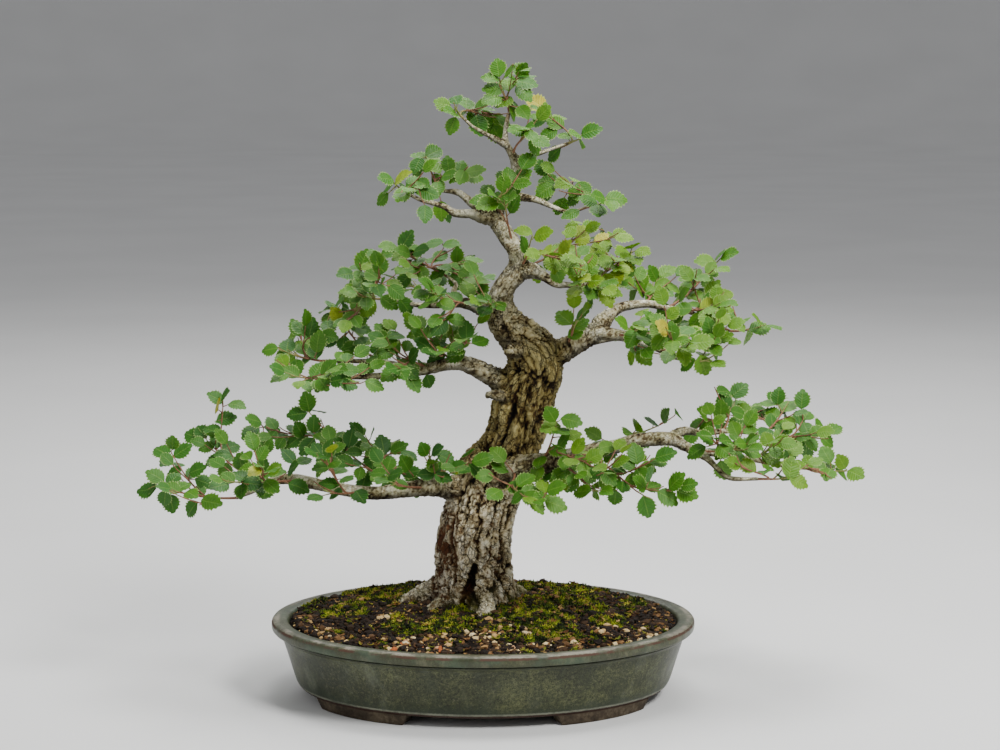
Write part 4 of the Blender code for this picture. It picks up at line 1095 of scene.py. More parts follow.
@dataclass(frozen=True)
class MossFinish:
    """Cushion moss, from deep green to bright yellow-green."""

    def make(self) -> Finish:
        """Returns the moss's material."""
        mix = Mixer("cushion_moss")
        stops = [
            (0.0, 10, 13, 3), (0.26, 34, 46, 8), (0.52, 88, 108, 18), (0.78, 150, 158, 34),
            (0.90, 194, 180, 72), (1.0, 140, 100, 50),
        ]
        colour = mix.ramp(mix.attribute("tone"), stops)
        return mix.finish(colour, 0.85, mix.noise(900, 2, 0.5), 0.0005, 0.5, 0.25)


@dataclass(frozen=True)
class ScreenFinish:
    """Plain dark moulded mesh."""

    def make(self) -> Finish:
        """Returns the drain screens' material."""
        mix = Mixer("screen_plastic")
        grain = mix.noise(800, 3, 0.5)
        colour = mix.ramp(grain, [(0.3, 30, 31, 30), (0.7, 48, 49, 46)])
        return mix.finish(colour, 0.55, grain, 0.0003, 0.4)


@dataclass
class GlazedPot:
    """The oval pot, lofted from its rings, with four curved feet and two drain holes."""

    view: PhotoView
    length: float = 0.400
    width: float = 0.295
    sides: int = 160
    hole_radius: float = 0.010
    hole_offset: float = 0.085
    foot_height: float = 0.0105
    foot_arc: Pixel = (27.0, 67.0)
    foot_insets: Pixel = (0.0262, 0.0460)
    foot_taper: Pixel = (0.88, 0.92)
    foot_round: float = 0.0009
    # How far the throwing leaves it off true, as a share of its size
    off_true: Pixel = (0.0016, 0.0020)
    # From the underside's middle, up the outside, over the rim and down inside: (inset mm, height mm)
    section: tuple[Pixel, ...] = (
        (34.0, 9.0), (30.5, 9.1), (28.0, 9.7), (26.0, 11.0), (24.2, 13.2), (22.6, 16.4), (21.0, 21.0),
        (19.2, 27.0), (17.0, 34.5), (14.6, 42.5), (12.2, 50.0), (10.2, 56.6), (9.6, 58.4), (8.4, 59.5),
        (6.6, 60.3), (5.6, 61.2), (5.4, 62.0), (5.9, 62.7), (5.6, 63.3), (3.2, 63.7), (1.4, 64.2),
        (0.5, 65.2), (0.1, 66.8), (0.0, 69.0), (0.1, 70.6), (0.5, 72.0), (1.5, 73.3), (3.0, 73.9),
        (5.4, 74.0), (9.6, 73.8), (13.4, 73.4), (15.2, 72.6), (16.4, 71.0), (17.0, 68.0), (17.8, 61.0),
        (21.0, 47.0), (27.0, 30.0), (31.0, 21.0), (36.0, 18.0),
    )

    def ring_size(self, inset: float) -> Pixel:
        """Gives a ring's two half axes at an inset in metres."""
        return self.length / 2 - inset, self.width / 2 - inset

    def loft(self, name: str, section: tuple[Pixel, ...], sides: int) -> Piece:
        """Extrudes one oval ring after another, and closes both ends.

        Args:
            name: The piece's name.
            section: Rings as (inset mm, height mm).
            sides: Points round each ring.

        Returns:
            The closed piece, round the pot's axis.
        """
        Workbench.clear_selection()
        inset, height = section[0]
        half_x, half_y = self.ring_size(inset / 1000)
        bpy.ops.mesh.primitive_circle_add(vertices=sides, radius=1.0, location=(0, 0, height / 1000))
        piece = Workbench.newest(name)
        piece.scale = (half_x, half_y, 1)
        Workbench.apply_place(piece)
        Workbench.edit()
        bpy.ops.mesh.edge_face_add()
        Workbench.edit(Tool.FACES)
        for inset, level in section[1:]:
            next_x, next_y = self.ring_size(inset / 1000)
            rise = (level - height) / 1000
            bpy.ops.mesh.extrude_region_move(TRANSFORM_OT_translate={"value": (0, 0, rise)})
            bpy.ops.transform.resize(value=(next_x / half_x, next_y / half_y, 1), center_override=(0, 0, 0))
            half_x, half_y, height = next_x, next_y, level
        bpy.ops.mesh.select_all(action="SELECT")
        bpy.ops.mesh.normals_make_consistent(inside=False)
        Workbench.leave()
        return piece

    def foot(self, quarter: int) -> Piece:
        """Bends a grid along the oval, thickens it downward and rounds its edges.

        Args:
            quarter: 0 to 3, counted from the back right.

        Returns:
            One foot.
        """
        Workbench.clear_selection()
        bpy.ops.mesh.primitive_grid_add(x_subdivisions=16, y_subdivisions=3, size=2.0)
        piece = Workbench.newest("foot")
        sign_x = 1 if quarter in (0, 3) else -1
        sign_y = 1 if quarter in (0, 1) else -1
        first, last = (math.radians(angle) for angle in self.foot_arc)
        for vert in piece.data.vertices:
            angle = first + (last - first) * (vert.co.x + 1) / 2
            inset = self.foot_insets[0] + (self.foot_insets[1] - self.foot_insets[0]) * (vert.co.y + 1) / 2
            half_x, half_y = self.ring_size(inset)
            x, y = half_x * math.cos(angle) * sign_x, half_y * math.sin(angle) * sign_y
            vert.co = Vector((x, y, self.foot_height))
        Workbench.pick(piece)
        Workbench.edit(Tool.FACES)
        bpy.ops.mesh.extrude_region_move(TRANSFORM_OT_translate={"value": (0, 0, -self.foot_height)})
        middle = sum((v.co for v in piece.data.vertices), Vector()) / len(piece.data.vertices)
        bpy.ops.transform.resize(value=(*self.foot_taper, 1), center_override=(middle.x, middle.y, 0))
        bpy.ops.mesh.select_all(action="SELECT")
        bpy.ops.mesh.normals_make_consistent(inside=False)
        Workbench.leave()
        Workbench.modify(
            piece, "BEVEL", width=self.foot_round, segments=3, limit_method="ANGLE",
            angle_limit=math.radians(40),
        )
        return piece

    def build(self) -> None:
        """Builds the pot, stores each point's distance in from its outline and dresses it."""
        pot = self.loft("glazed_pot", self.section, self.sides)
        for quarter in range(4):
            Workbench.fuse(pot, self.foot(quarter), "UNION")
        for side in (-1, 1):
            Workbench.clear_selection()
            bpy.ops.mesh.primitive_cylinder_add(
                vertices=48, radius=self.hole_radius, depth=0.04,
                location=(side * self.hole_offset, 0, 0.0135),
            )
            Workbench.fuse(pot, Workbench.newest("drill"), "DIFFERENCE")
        insets = []
        for vert in pot.data.vertices:
            if vert.co.z > 0.012:
                wobble = noise.noise(vert.co * 11)
                vert.co.x *= 1 + self.off_true[0] * wobble
                vert.co.y *= 1 + self.off_true[1] * wobble
            share = math.hypot(vert.co.x / (self.length / 2), vert.co.y / (self.width / 2))
            insets.append(math.hypot(vert.co.x, vert.co.y) * (1 / max(share, 0.01) - 1))
        pot.data.attributes.new("inset", "FLOAT", "POINT").data.foreach_set("value", insets)
        pot.data.transform(Matrix.Translation((*self.view.origin, 0)))
        Workbench.smooth(pot, 38)
        Workbench.dress(pot, GlazeFinish().make())
        Workbench.settle(pot, "glaze", "pot")


@dataclass
class Bed:
    """The mounded bed's shape: its height, its moss patches and the oval that holds it."""

    view: PhotoView
    half_x: float = 0.1829
    half_y: float = 0.1304
    edge_height: float = 0.0690
    mound: float = 0.0130
    patches: list[tuple[Vector, float, float]] = field(default_factory=list)

    def __post_init__(self) -> None:
        """Finds where each patch of moss lies."""
        for across, down, half_x, half_y in MOSS_PATCHES:
            self.patches.append((self.spot(across, down), half_x, half_y))

    def anywhere(self, chance: random.Random) -> Pixel:
        """Draws a spot in the oblong round the bed."""
        x, y = chance.uniform(-1, 1) * self.half_x, chance.uniform(-1, 1) * self.half_y
        return self.view.origin[0] + x, self.view.origin[1] + y

    def foot(self) -> Vector:
        """Gives the middle of the trunk's foot."""
        return self.view.sight(*TRUNK[0][:3])

    def smooth_height(self, x: float, y: float) -> float:
        """Gives the bed's height without its relief.

        Args:
            x: Across, in the frame.
            y: Depth, in the frame.

        Returns:
            The height over the ground.
        """
        foot = self.foot()
        left, back = x - self.view.origin[0], y - self.view.origin[1]
        lean_x, lean_y = foot.x - self.view.origin[0], foot.y - self.view.origin[1]
        share = math.hypot((left - lean_x * 0.6) / 0.200, (back - lean_y * 0.6) / 0.1475)
        return self.edge_height + self.mound * max(0.0, 1 - share * share)

    def height(self, x: float, y: float) -> float:
        """Gives the bed's height with its lumps."""
        lumps = 0.0018 * ripple(x, y, 60, 1.3) + 0.0013 * ripple(x, y, 240, 7.7)
        cushion = 0.0020 + 0.0024 * ripple(x, y, 120, 5.1)
        return self.smooth_height(x, y) + lumps + cushion * self.moss(x, y)

    def inside(self, x: float, y: float, margin: float = 0.0) -> bool:
        """Says whether a spot lies within the bed's edge."""
        left, back = x - self.view.origin[0], y - self.view.origin[1]
        return math.hypot(left / (self.half_x - margin), back / (self.half_y - margin)) < 1

    def spot(self, across: float, down: float) -> Vector:
        """Finds the bed's surface behind a pixel."""
        depth = 0.0
        for _ in range(12):
            point = self.view.sight(across, down, depth)
            above = point.z - self.smooth_height(point.x, point.y)
            depth += above / math.tan(math.radians(self.view.pitch_deg + 4.0)) * 0.8
            depth = max(-0.13, min(0.13, depth))
        return point

    def moss(self, x: float, y: float) -> float:
        """Gives how mossy a spot is, 0 to 1."""
        wander = 0.75 * ripple(x, y, 45, 4.2) + 0.35 * ripple(x, y, 150, 8.1)
        best = 0.6 * smoothstep(0.26, 0.48, ripple(x, y, 60, 2.9))
        for middle, half_x, half_y in self.patches:
            share = math.hypot((x - middle.x) / half_x, (y - middle.y) / half_y) + wander
            best = max(best, 1 - smoothstep(0.66, 1.16, share))
        return best


@dataclass
class GritBed:
    """Soil, grit and moss in the pot."""

    view: PhotoView
    bed: Bed
    wood: "Wood"
    grains: int = 5200
    tufts: int = 9200
    scraps: int = 1300
    seed: int = 11
    rings: int = 76
    sides: int = 240
    # Half sizes of the grains in metres, the commonest most often
    grain_sizes: tuple[float, ...] = (0.0009, 0.0012, 0.0014, 0.0016, 0.0020, 0.0024, 0.0030, 0.0036)
    grain_shapes: int = 9
    most_tries: int = 90000
    scrap_sizes: Pixel = (0.0010, 0.0034)
    tuft_heights: Pixel = (0.0022, 0.0050)
    # The soil's sides, as (inset mm, height mm), and its flat top before it gets the bed's relief
    soil_sides: tuple[Pixel, ...] = ((38.0, 21.5), (31.0, 28.0), (19.2, 57.0), (17.4, 66.0))
    soil_edge: float = 17.2
    soil_reach: float = 130.0
    soil_top: float = 69.0

    def soil(self) -> Piece:
        """Extrudes the soil's body and gives its top the bed's relief."""
        section = list(self.soil_sides)
        for ring in range(self.rings):
            share = ring / (self.rings - 1)
            section.append((self.soil_edge + self.soil_reach * share * 0.995, self.soil_top))
        piece = GlazedPot(self.view).loft("soil", tuple(section), self.sides)
        middle_x, middle_y = self.view.origin
        piece.data.transform(Matrix.Translation((middle_x, middle_y, 0)))
        values = []
        for vert in piece.data.vertices:
            x, y = vert.co.x, vert.co.y
            if vert.co.z > self.soil_top / 1000 - 0.0001:
                edge = math.hypot((x - middle_x) / self.bed.half_x, (y - middle_y) / self.bed.half_y)
                vert.co.z = self.bed.height(x, y) - 0.0012 * smoothstep(0.94, 1.0, edge)
            values.append(self.bed.moss(x, y))
        piece.data.attributes.new("moss", "FLOAT", "POINT").data.foreach_set("value", values)
        Workbench.smooth(piece)
        Workbench.dress(piece, SoilFinish().make())
        return piece

    @staticmethod
    def take_mesh(piece: Piece) -> "MeshStock":
        """Keeps a modelled shape as stock and removes its object."""
        stock = MeshStock(piece.data)
        bpy.data.objects.remove(piece, do_unlink=True)
        return stock

    def pebble(self, chance: random.Random) -> "MeshStock":
        """Knocks the corners of a ball about and shaves one side off, for one angular grain."""
        Workbench.clear_selection()
        bpy.ops.mesh.primitive_ico_sphere_add(subdivisions=1, radius=1.0)
        piece = Workbench.newest("grain")
        for vert in piece.data.vertices:
            vert.co *= chance.uniform(0.72, 1.22)
        Workbench.pick(piece)
        Workbench.edit()
        lean = Vector((chance.uniform(-1, 1), chance.uniform(-1, 1), chance.uniform(-1, 1))).normalized()
        bpy.ops.mesh.bisect(plane_co=lean * 0.66, plane_no=lean, use_fill=True, clear_outer=True)
        Workbench.leave()
        return self.take_mesh(piece)

    def tuft(self) -> "MeshStock":
        """Joins five leaning spikes into one moss tuft, 1 high."""
        spikes = []
        for k in range(5):
            Workbench.clear_selection()
            bpy.ops.mesh.primitive_cone_add(
                vertices=3, radius1=0.36, radius2=0.0, depth=1.0, location=(0, 0, 0.42)
            )
            spike = Workbench.newest("spike")
            spike.scale = (1.0, 0.55, 1.0)
            Workbench.apply_place(spike)
            lean = Matrix.Rotation(math.tau * k / 5, 4, "Z") @ Matrix.Rotation(1.12 if k else 0.3, 4, "X")
            spike.data.transform(lean)
            spikes.append(spike)
        return self.take_mesh(Workbench.join("tuft", spikes))

    def scrap(self) -> "MeshStock":
        """Curls a thin pointed strip, for a scrap of dry leaf or bark, 2 long."""
        Workbench.clear_selection()
        bpy.ops.mesh.primitive_grid_add(x_subdivisions=4, y_subdivisions=2, size=2.0)
        piece = Workbench.newest("scrap")
        for vert in piece.data.vertices:
            x, y = vert.co.x, vert.co.y
            vert.co = Vector((x, y * (0.44 - 0.34 * x * x), 0.34 * x * x + 0.30 * y * y + 0.12 * x * y))
        Workbench.modify(piece, "SOLIDIFY", thickness=0.09, offset=0.0)
        return self.take_mesh(piece)

    def scatter_grit(self) -> Piece:
        """Lays grains over the bed, thickly at the edge and thinly on the moss."""
        chance = random.Random(self.seed)
        grains = [self.pebble(chance) for _ in range(self.grain_shapes)]
        crop = Crop("grit")
        laid = 0
        while laid < self.grains:
            x, y = self.bed.anywhere(chance)
            size = chance.choice(self.grain_sizes) * chance.uniform(0.8, 1.2)
            if not self.bed.inside(x, y, size * 1.4) or chance.random() < 0.94 * self.bed.moss(x, y):
                continue
            thin = 0.5 + 0.5 * ripple(x, y, 30, 6.6)
            if chance.random() < 0.60 * (1 - smoothstep(0.36, 0.60, thin)):
                continue
            point = Vector((x, y, self.bed.height(x, y) + size * chance.uniform(-0.1, 0.5)))
            if self.wood.covers(point, 0.0006):
                continue
            turn = spin(chance.uniform(0, math.tau), "Z") @ spin(chance.uniform(-0.5, 0.5), "X")
            flat = Matrix.Diagonal((size * chance.uniform(0.9, 1.5), size, size * chance.uniform(0.55, 0.9)))
            front = smoothstep(0.0, -0.09, y - self.view.origin[1])
            bright = 0.62 + 0.38 * front + 0.2 * smoothstep(0.6, 0.9, thin)
            bright *= 0.55 + 0.45 * smoothstep(0.34, 0.56, thin)
            stock = chance.choice(grains)
            crop.add(stock, point, turn @ flat, min(1.0, chance.random() ** 1.9 * bright * 1.06))
            laid += 1
        return self.dressed(crop, GritFinish())

    def scatter_litter(self) -> Piece:
        """Drops dry scraps on the bed."""
        chance = random.Random(self.seed + 2)
        stock = self.scrap()
        crop = Crop("litter")
        dropped = 0
        while dropped < self.scraps:
            x, y = self.bed.anywhere(chance)
            size = chance.uniform(*self.scrap_sizes)
            point = Vector((x, y, self.bed.height(x, y) + 0.0012))
            if not self.bed.inside(x, y, size * 1.5) or self.wood.covers(point, 0.001):
                continue
            turn = spin(chance.uniform(0, math.tau), "Z")
            turn = turn @ spin(chance.uniform(-0.6, 0.6), "X") @ spin(chance.uniform(-0.4, 0.4), "Y")
            crop.add(stock, point, turn @ Matrix.Diagonal((size, size, size)), chance.random())
            dropped += 1
        return self.dressed(crop, LitterFinish(), 40)

    def scatter_moss(self) -> Piece:
        """Sets moss tufts on the patches."""
        chance = random.Random(self.seed + 1)
        stock = self.tuft()
        crop = Crop("moss")
        set_down = 0
        tries = 0
        while set_down < self.tufts and tries < self.most_tries:
            tries += 1
            x, y = self.bed.anywhere(chance)
            amount = self.bed.moss(x, y)
            if not self.bed.inside(x, y, 0.003) or chance.random() > amount:
                continue
            point = Vector((x, y, self.bed.height(x, y)))
            if self.wood.covers(point, -0.001):
                continue
            tall = chance.uniform(*self.tuft_heights) * (0.50 + 0.55 * amount)
            turn = spin(chance.uniform(0, math.tau), "Z")
            light = 0.40 + 0.80 * ripple(x, y, 95, 9.1) + chance.gauss(0, 0.22)
            size = Matrix.Diagonal((tall, tall, tall * 0.9))
            crop.add(stock, point, turn @ size, min(1.0, max(0.0, light)))
            set_down += 1
        return self.dressed(crop, MossFinish())

    @staticmethod
    def dressed(crop: "Crop", finish: GritFinish | LitterFinish | MossFinish, smooth: float = 0.0) -> Piece:
        """Makes a crop one piece with its finish, and smooth up to an angle in degrees where one is given."""
        piece = crop.piece()
        if smooth:
            Workbench.smooth(piece, smooth)
        Workbench.dress(piece, finish.make())
        return piece

    def build(self) -> None:
        """Builds the soil, the grit, the moss and the litter."""
        for piece in (self.soil(), self.scatter_grit(), self.scatter_moss(), self.scatter_litter()):
            Workbench.settle(piece, "grit", "grit_and_soil")


class MeshStock:
    """A modelled shape kept as arrays, to be copied many times."""

    def __init__(self, mesh: bpy.types.Mesh) -> None:
        """Reads the mesh's points and faces."""
        self.points = np.empty(len(mesh.vertices) * 3)
        mesh.vertices.foreach_get("co", self.points)
        self.points = self.points.reshape(-1, 3)
        self.faces = [tuple(face.vertices) for face in mesh.polygons]
        self.slots = [face.material_index for face in mesh.polygons]


class Crop:
    """Gathers copies of stocked shapes in one piece, each copy with its own points."""

    def __init__(self, name: str) -> None:
        """Starts an empty piece."""
        self.name = name
        self.points: list[np.ndarray] = []
        self.faces: list[tuple[int, ...]] = []
        self.tones: list[np.ndarray] = []
        self.slots: list[int] = []
        self.uvs: list[np.ndarray] = []
        self.count = 0

    def add(self, stock: MeshStock, place: Vector, matrix: Matrix, tone: float) -> None:
        """Adds a copy at a place, turned and scaled by a matrix."""
        self.add_points(stock.points @ np.array(matrix).T + np.array(place), stock.faces, stock.slots, tone)

    def add_points(
        self, points: np.ndarray, faces: list[tuple[int, ...]], slots: list[int], tone: float,
        uv: np.ndarray | None = None,
    ) -> None:
        """Adds a copy whose points are already in place."""
        self.points.append(points)
        self.faces += [tuple(index + self.count for index in face) for face in faces]
        self.tones.append(np.full(len(points), tone))
        self.slots += slots
        self.uvs.append(uv if uv is not None else np.zeros((len(points), 2)))
        self.count += len(points)

    def piece(self, with_uv: bool = False) -> Piece:
        """Returns the gathered copies as one object."""
        mesh = bpy.data.meshes.new(self.name)
        mesh.from_pydata(np.concatenate(self.points), [], self.faces)
        mesh.attributes.new("tone", "FLOAT", "POINT").data.foreach_set("value", np.concatenate(self.tones))
        mesh.polygons.foreach_set("material_index", self.slots)
        if with_uv:
            layer = mesh.uv_layers.new(name="UVMap")
            corners = np.empty(len(mesh.loops), dtype=np.int32)
            mesh.loops.foreach_get("vertex_index", corners)
            layer.data.foreach_set("uv", np.concatenate(self.uvs)[corners].ravel())
        mesh.update()
        piece = bpy.data.objects.new(self.name, mesh)
        bpy.context.scene.collection.objects.link(piece)
        return piece


@dataclass
class Route:
    """A smooth run of wood: points, half thicknesses and a frame that turns as little as it can."""

    name: str
    points: list[Vector]
    radii: list[float]
    along: list[float] = field(default_factory=list)
    grain: list[float] = field(default_factory=list)
    frames: list[tuple[Vector, Vector, Vector]] = field(default_factory=list)

    @classmethod
    def through(cls, name: str, knots: list[Vector], radii: list[float], step: float) -> "Route":
        """Threads a smooth curve through knots.

        Args:
            name: The route's name.
            knots: Points that the curve passes.
            radii: The half thickness at each knot.
            step: The distance between the curve's points.

        Returns:
            The route.
        """
        ends = [knots[0] * 2 - knots[1], *knots, knots[-1] * 2 - knots[-2]]
        points: list[Vector] = []
        sizes: list[float] = []
        for k in range(len(knots) - 1):
            a, b, c, d = ends[k:k + 4]
            count = max(1, round((c - b).length / step))
            for i in range(count):
                t = i / count
                bent = (2 * a - 5 * b + 4 * c - d) * t * t
                points.append(0.5 * (2 * b + (c - a) * t + bent + (3 * b - a - 3 * c + d) * t**3))
                sizes.append(radii[k] + (radii[k + 1] - radii[k]) * t * t * (3 - 2 * t))
        points.append(knots[-1].copy())
        sizes.append(radii[-1])
        route = cls(name, points, sizes)
        route.measure()
        return route

    @staticmethod
    def stretch(radius: float) -> float:
        """Gives how much longer than wide the flakes are, which is most half way up the trunk."""
        return 1.40 + 0.85 * math.exp(-(((radius - 0.0250) / 0.0050) ** 2))

    def measure(self) -> None:
        """Works out the distance along, plain and by the flakes' length, and the frame at each point."""
        self.along = [0.0]
        self.grain = [0.0]
        for a, b, radius in zip(self.points, self.points[1:], self.radii):
            self.along.append(self.along[-1] + (b - a).length)
            self.grain.append(self.grain[-1] + (b - a).length / self.stretch(radius))
        side = Vector((0, -1, 0))
        for i in range(len(self.points)):
            ahead = (self.points[min(i + 1, len(self.points) - 1)] - self.points[max(i - 1, 0)]).normalized()
            side = (side - ahead * side.dot(ahead)).normalized()
            self.frames.append((ahead, side, ahead.cross(side)))

    def reached(self, distance: float) -> int:
        """Gives the last point that is less than a distance along."""
        return max(i for i, gone in enumerate(self.along) if gone < distance)

    def cut(self, first: int, last: int, at_start: bool) -> "Route":
        """Takes a part of the route and narrows one end of it, so that it hides in the wood that it meets.

        Args:
            first: The part's first point.
            last: The point after the part's last one.
            at_start: Whether the start is narrowed, and not the end.

        Returns:
            The part.
        """
        radii = self.radii[first:last]
        for k, share in enumerate((0.72, 0.84, 0.93, 0.98)):
            radii[k if at_start else -1 - k] *= share
        return Route(self.name, self.points[first:last], radii)

    def tube(self, resolution: int) -> Piece:
        """Sweeps a circle along the route."""
        return Workbench.sweep(self.name, [(self.points, self.radii)], resolution)


@dataclass(frozen=True)
class BarkSpot:
    """The bark at one point: rise in metres, height on a plate, the wood's stoutness and its grain."""

    rise: float
    plate: float
    stout: float
    grain: Vector


@dataclass
class Wood:
    """The old wood: trunk, surface roots, limbs and pruning stubs, with bark cut into it."""

    view: PhotoView
    bed: Bed
    trunk_depth: float = 0.020
    furrow_width: float = 0.0118
    deepest: float = 0.0056
    joint_blend: float = 0.0040
    limb_step: float = 0.0015
    cleft_top: float = 0.400
    limb_start: float = 0.020
    # How far the limbs' starts in the trunk's skin reach past the limbs' own
    limb_overlap: float = 0.014
    voxel: float = 0.00121
    seed: float = 5.3
    # Surface roots: (direction in degrees, 270 being the front; reach m; diameter m)
    roots: tuple[Mark, ...] = (
        (186, 0.086, 0.024), (216, 0.066, 0.018), (284, 0.072, 0.030), (322, 0.050, 0.014),
        (2, 0.052, 0.016), (42, 0.066, 0.022), (88, 0.062, 0.022), (138, 0.072, 0.024), (246, 0.048, 0.012),
    )
    # A root's height over the soil at shares of its reach, as (share, metres), and its thickness there
    root_rise: tuple[Pixel, ...] = (
        (0.04, 0.030), (0.34, 0.017), (0.54, 0.0075), (0.72, 0.0015), (0.88, -0.005), (1.0, -0.012),
    )
    root_taper: tuple[float, ...] = (1.15, 1.05, 0.95, 0.68, 0.50, 0.36)
    routes: dict[str, Route] = field(default_factory=dict)
    samples: list[tuple[Route, int]] = field(default_factory=list)
    trunk_index: kdtree.KDTree | None = None
    limb_index: kdtree.KDTree | None = None

    def lay_out(self) -> None:
        """Threads every route and indexes it for the bark."""
        knots = [self.view.sight(*k[:3]) for k in TRUNK]
        foot = knots[0].copy()
        foot.z = self.bed.smooth_height(foot.x, foot.y) - self.trunk_depth
        knots = [foot] + [k for k in knots if k.z > foot.z + 0.012]
        sizes = [k[3] / 2 for k in TRUNK]
        sizes = [sizes[0]] + sizes[len(sizes) - len(knots) + 1:]
        self.routes["trunk"] = Route.through("trunk", knots, sizes, 0.003)
        for name, limb in {**LIMBS, **STUBS}.items():
            points = [self.view.sight(*k[:3]) for k in limb]
            radii = [k[3] / 2 for k in limb]
            self.routes[name] = Route.through(name, points, radii, self.limb_step)
            self.flare(self.routes[name])
        for number, root in enumerate(self.roots):
            self.routes[f"root_{number}"] = self.root_route(f"root_{number}", root)
        self.samples = [(route, i) for route in self.routes.values() for i in range(len(route.points))]
        self.trunk_index = kdtree.KDTree(len(self.samples))
        self.limb_index = kdtree.KDTree(len(self.samples))
        for number, (route, i) in enumerate(self.samples):
            index = self.trunk_index if route.name == "trunk" else self.limb_index
            index.insert(route.points[i], number)
        self.trunk_index.balance()
        self.limb_index.balance()

    def near_samples(self, point: Vector) -> list[tuple[Route, int, float]]:
        """Lists the trunk's nearest sample and the limbs' nearest few, each with its distance."""
        hits = [self.trunk_index.find(point), *self.limb_index.find_n(point, 8)]
        return [(*self.samples[number], distance) for _, number, distance in hits]

    @staticmethod
    def stoutness(route: Route, i: int) -> float:
        """Gives the half thickness that the bark's age goes by, which stays large near the trunk."""
        if route.name.startswith(("root", "stub")):
            return max(0.013, route.radii[i])
        if route.name == "trunk":
            return route.radii[i]
        return route.radii[i] + 0.007 * math.exp(-route.along[i] / 0.045)

    def flare(self, route: Route) -> None:
        """Swells a limb where it leaves what carries it."""
        for i, gone in enumerate(route.along):
            swell = 0.32 * math.exp(-((gone - 0.012) / 0.012) ** 2)
            route.radii[i] *= 1 + swell * smoothstep(0.0, 0.004, gone)

    def root_route(self, name: str, root: Mark) -> Route:
        """Leads a surface root out of the trunk and down into the soil."""
        direction, reach, diameter = root
        foot = self.bed.foot()
        points = []
        wander = random.Random(int(direction))
        for share, lift in self.root_rise:
            angle = math.radians(direction + (wander.uniform(-9, 9) if share > 0.4 else 0))
            spot = foot + Vector((math.cos(angle), math.sin(angle), 0)) * reach * share
            rise = lift * min(1.0, diameter / 0.028) if lift > 0 else lift
            points.append(Vector((spot.x, spot.y, self.bed.smooth_height(spot.x, spot.y) + rise)))
        radii = [diameter / 2 * share for share in self.root_taper]
        return Route.through(name, points, radii, 0.0028)

    def covers(self, point: Vector, margin: float) -> bool:
        """Says whether a point lies in the trunk or a root."""
        near = self.near_samples(point)
        return any(distance < route.radii[i] * 0.96 + margin for route, i, distance in near)

    def nearest(self, point: Vector) -> tuple[Route, int, float]:
        """Finds the route whose skin lies nearest to a point, and how stout the wood is there."""
        best: dict[str, tuple[float, Route, int]] = {}
        for route, i, distance in self.near_samples(point):
            off = abs(distance - route.radii[i])
            if route.name not in best or off < best[route.name][0]:
                best[route.name] = (off, route, i)
        shares = [
            (math.exp(-((off / self.joint_blend) ** 2)) + 1e-9, route, i) for off, route, i in best.values()
        ]
        whole = sum(share for share, _, _ in shares)
        stout = sum(share * self.stoutness(route, i) for share, route, i in shares) / whole
        _, route, i = min(best.values(), key=lambda item: item[0])
        return route, i, stout

    def relief(self, point: Vector) -> BarkSpot:
        """Works out the bark at a point of the smooth skin."""
        route, i, stout = self.nearest(point)
        ahead, side, other = route.frames[i]
        out = point - route.points[i]
        angle = math.atan2(out.dot(other), out.dot(side))
        round_x, round_y = math.cos(angle), math.sin(angle)
        girth = route.radii[i]
        run = route.along[i] + out.dot(ahead)
        age = smoothstep(0.0030, 0.0165, stout)
        key = sum(ord(letter) for letter in route.name) * 0.37
        grain = Vector((
            round_x * girth, round_y * girth, route.grain[i] + out.dot(ahead) / Route.stretch(girth) + key
        ))
        spot = grain / (self.furrow_width * (0.40 + 0.60 * age)) + Vector((0, self.seed, 0))
        spot += noise.noise_vector(spot * 0.9) * 0.34 + noise.noise_vector(spot * 3.1) * 0.16
        furrow = smoothstep(0.0, 0.15, abs(noise.noise(Vector((spot.x, spot.y, spot.z * 0.42)) * 0.8)))
        slab = self.plates(spot * 0.88, 0.13, 0.50)
        chip = self.plates(spot * 2.5 + Vector((3, 7, 1)), 0.16, 0.60)
        fine = noise.noise(spot * 5.2)
        plate = max(0.0, min(1.0, 0.30 * furrow + 0.40 * slab + 0.32 * chip + 0.22 * fine))
        deep = self.deepest * age * min(1.0, 0.30 + stout / 0.034) + 0.00022
        swell = 0.10 * girth * noise.noise(Vector((round_x * 1.6, round_y * 1.6, run * 22 + key)))
        flute = 0.11 * girth * age * noise.noise(Vector((round_x * 2.6, round_y * 2.6, run * 8 + key)))
        return BarkSpot(deep * (plate - 0.50) + swell + flute, plate, stout, grain)

    @staticmethod
    def plates(at: Vector, crack: float, lean: float) -> float:
        """Gives the height of broken plates, each on its own level and leaning its own way.

        Args:
            at: The point, one unit to a plate.
            crack: The cracks' width, as a share of a plate.
            lean: How far the plates lean.

        Returns:
            The height, 0 in a crack to 1.
        """
        near, cells = noise.voronoi(at)
        own = noise.cell_vector(cells[0] * 7.1) * 2 - Vector((1, 1, 1))
        level = 0.68 + 0.24 * own.x + lean * (at - cells[0]).dot(own)
        return max(0.0, min(1.0, level)) * smoothstep(0.0, crack, near[1] - near[0])

    def cleft(self, point: Vector, normal: Vector) -> float:
        """Gives how deep in metres the front's clefts go at a point of the trunk."""
        facing = smoothstep(0.0, 0.4, -normal.y)
        if facing <= 0 or point.z > self.cleft_top:
            return 0.0
        across, down = self.view.pixel(point)
        deepest = 0.0
        ragged = 1 + 0.45 * noise.noise(point * 260) + 0.3 * noise.noise(point * 90)
        for marks, width, deep in CLEFTS:
            for (ax, ay), (bx, by) in zip(marks, marks[1:]):
                run_x, run_y = bx - ax, by - ay
                share = ((across - ax) * run_x + (down - ay) * run_y) / (run_x**2 + run_y**2)
                share = max(0.0, min(1.0, share))
                off = math.hypot(across - ax - run_x * share, down - ay - run_y * share)
                deepest = max(deepest, deep * math.exp(-((off * ragged / width) ** 2)))
        return deepest * facing

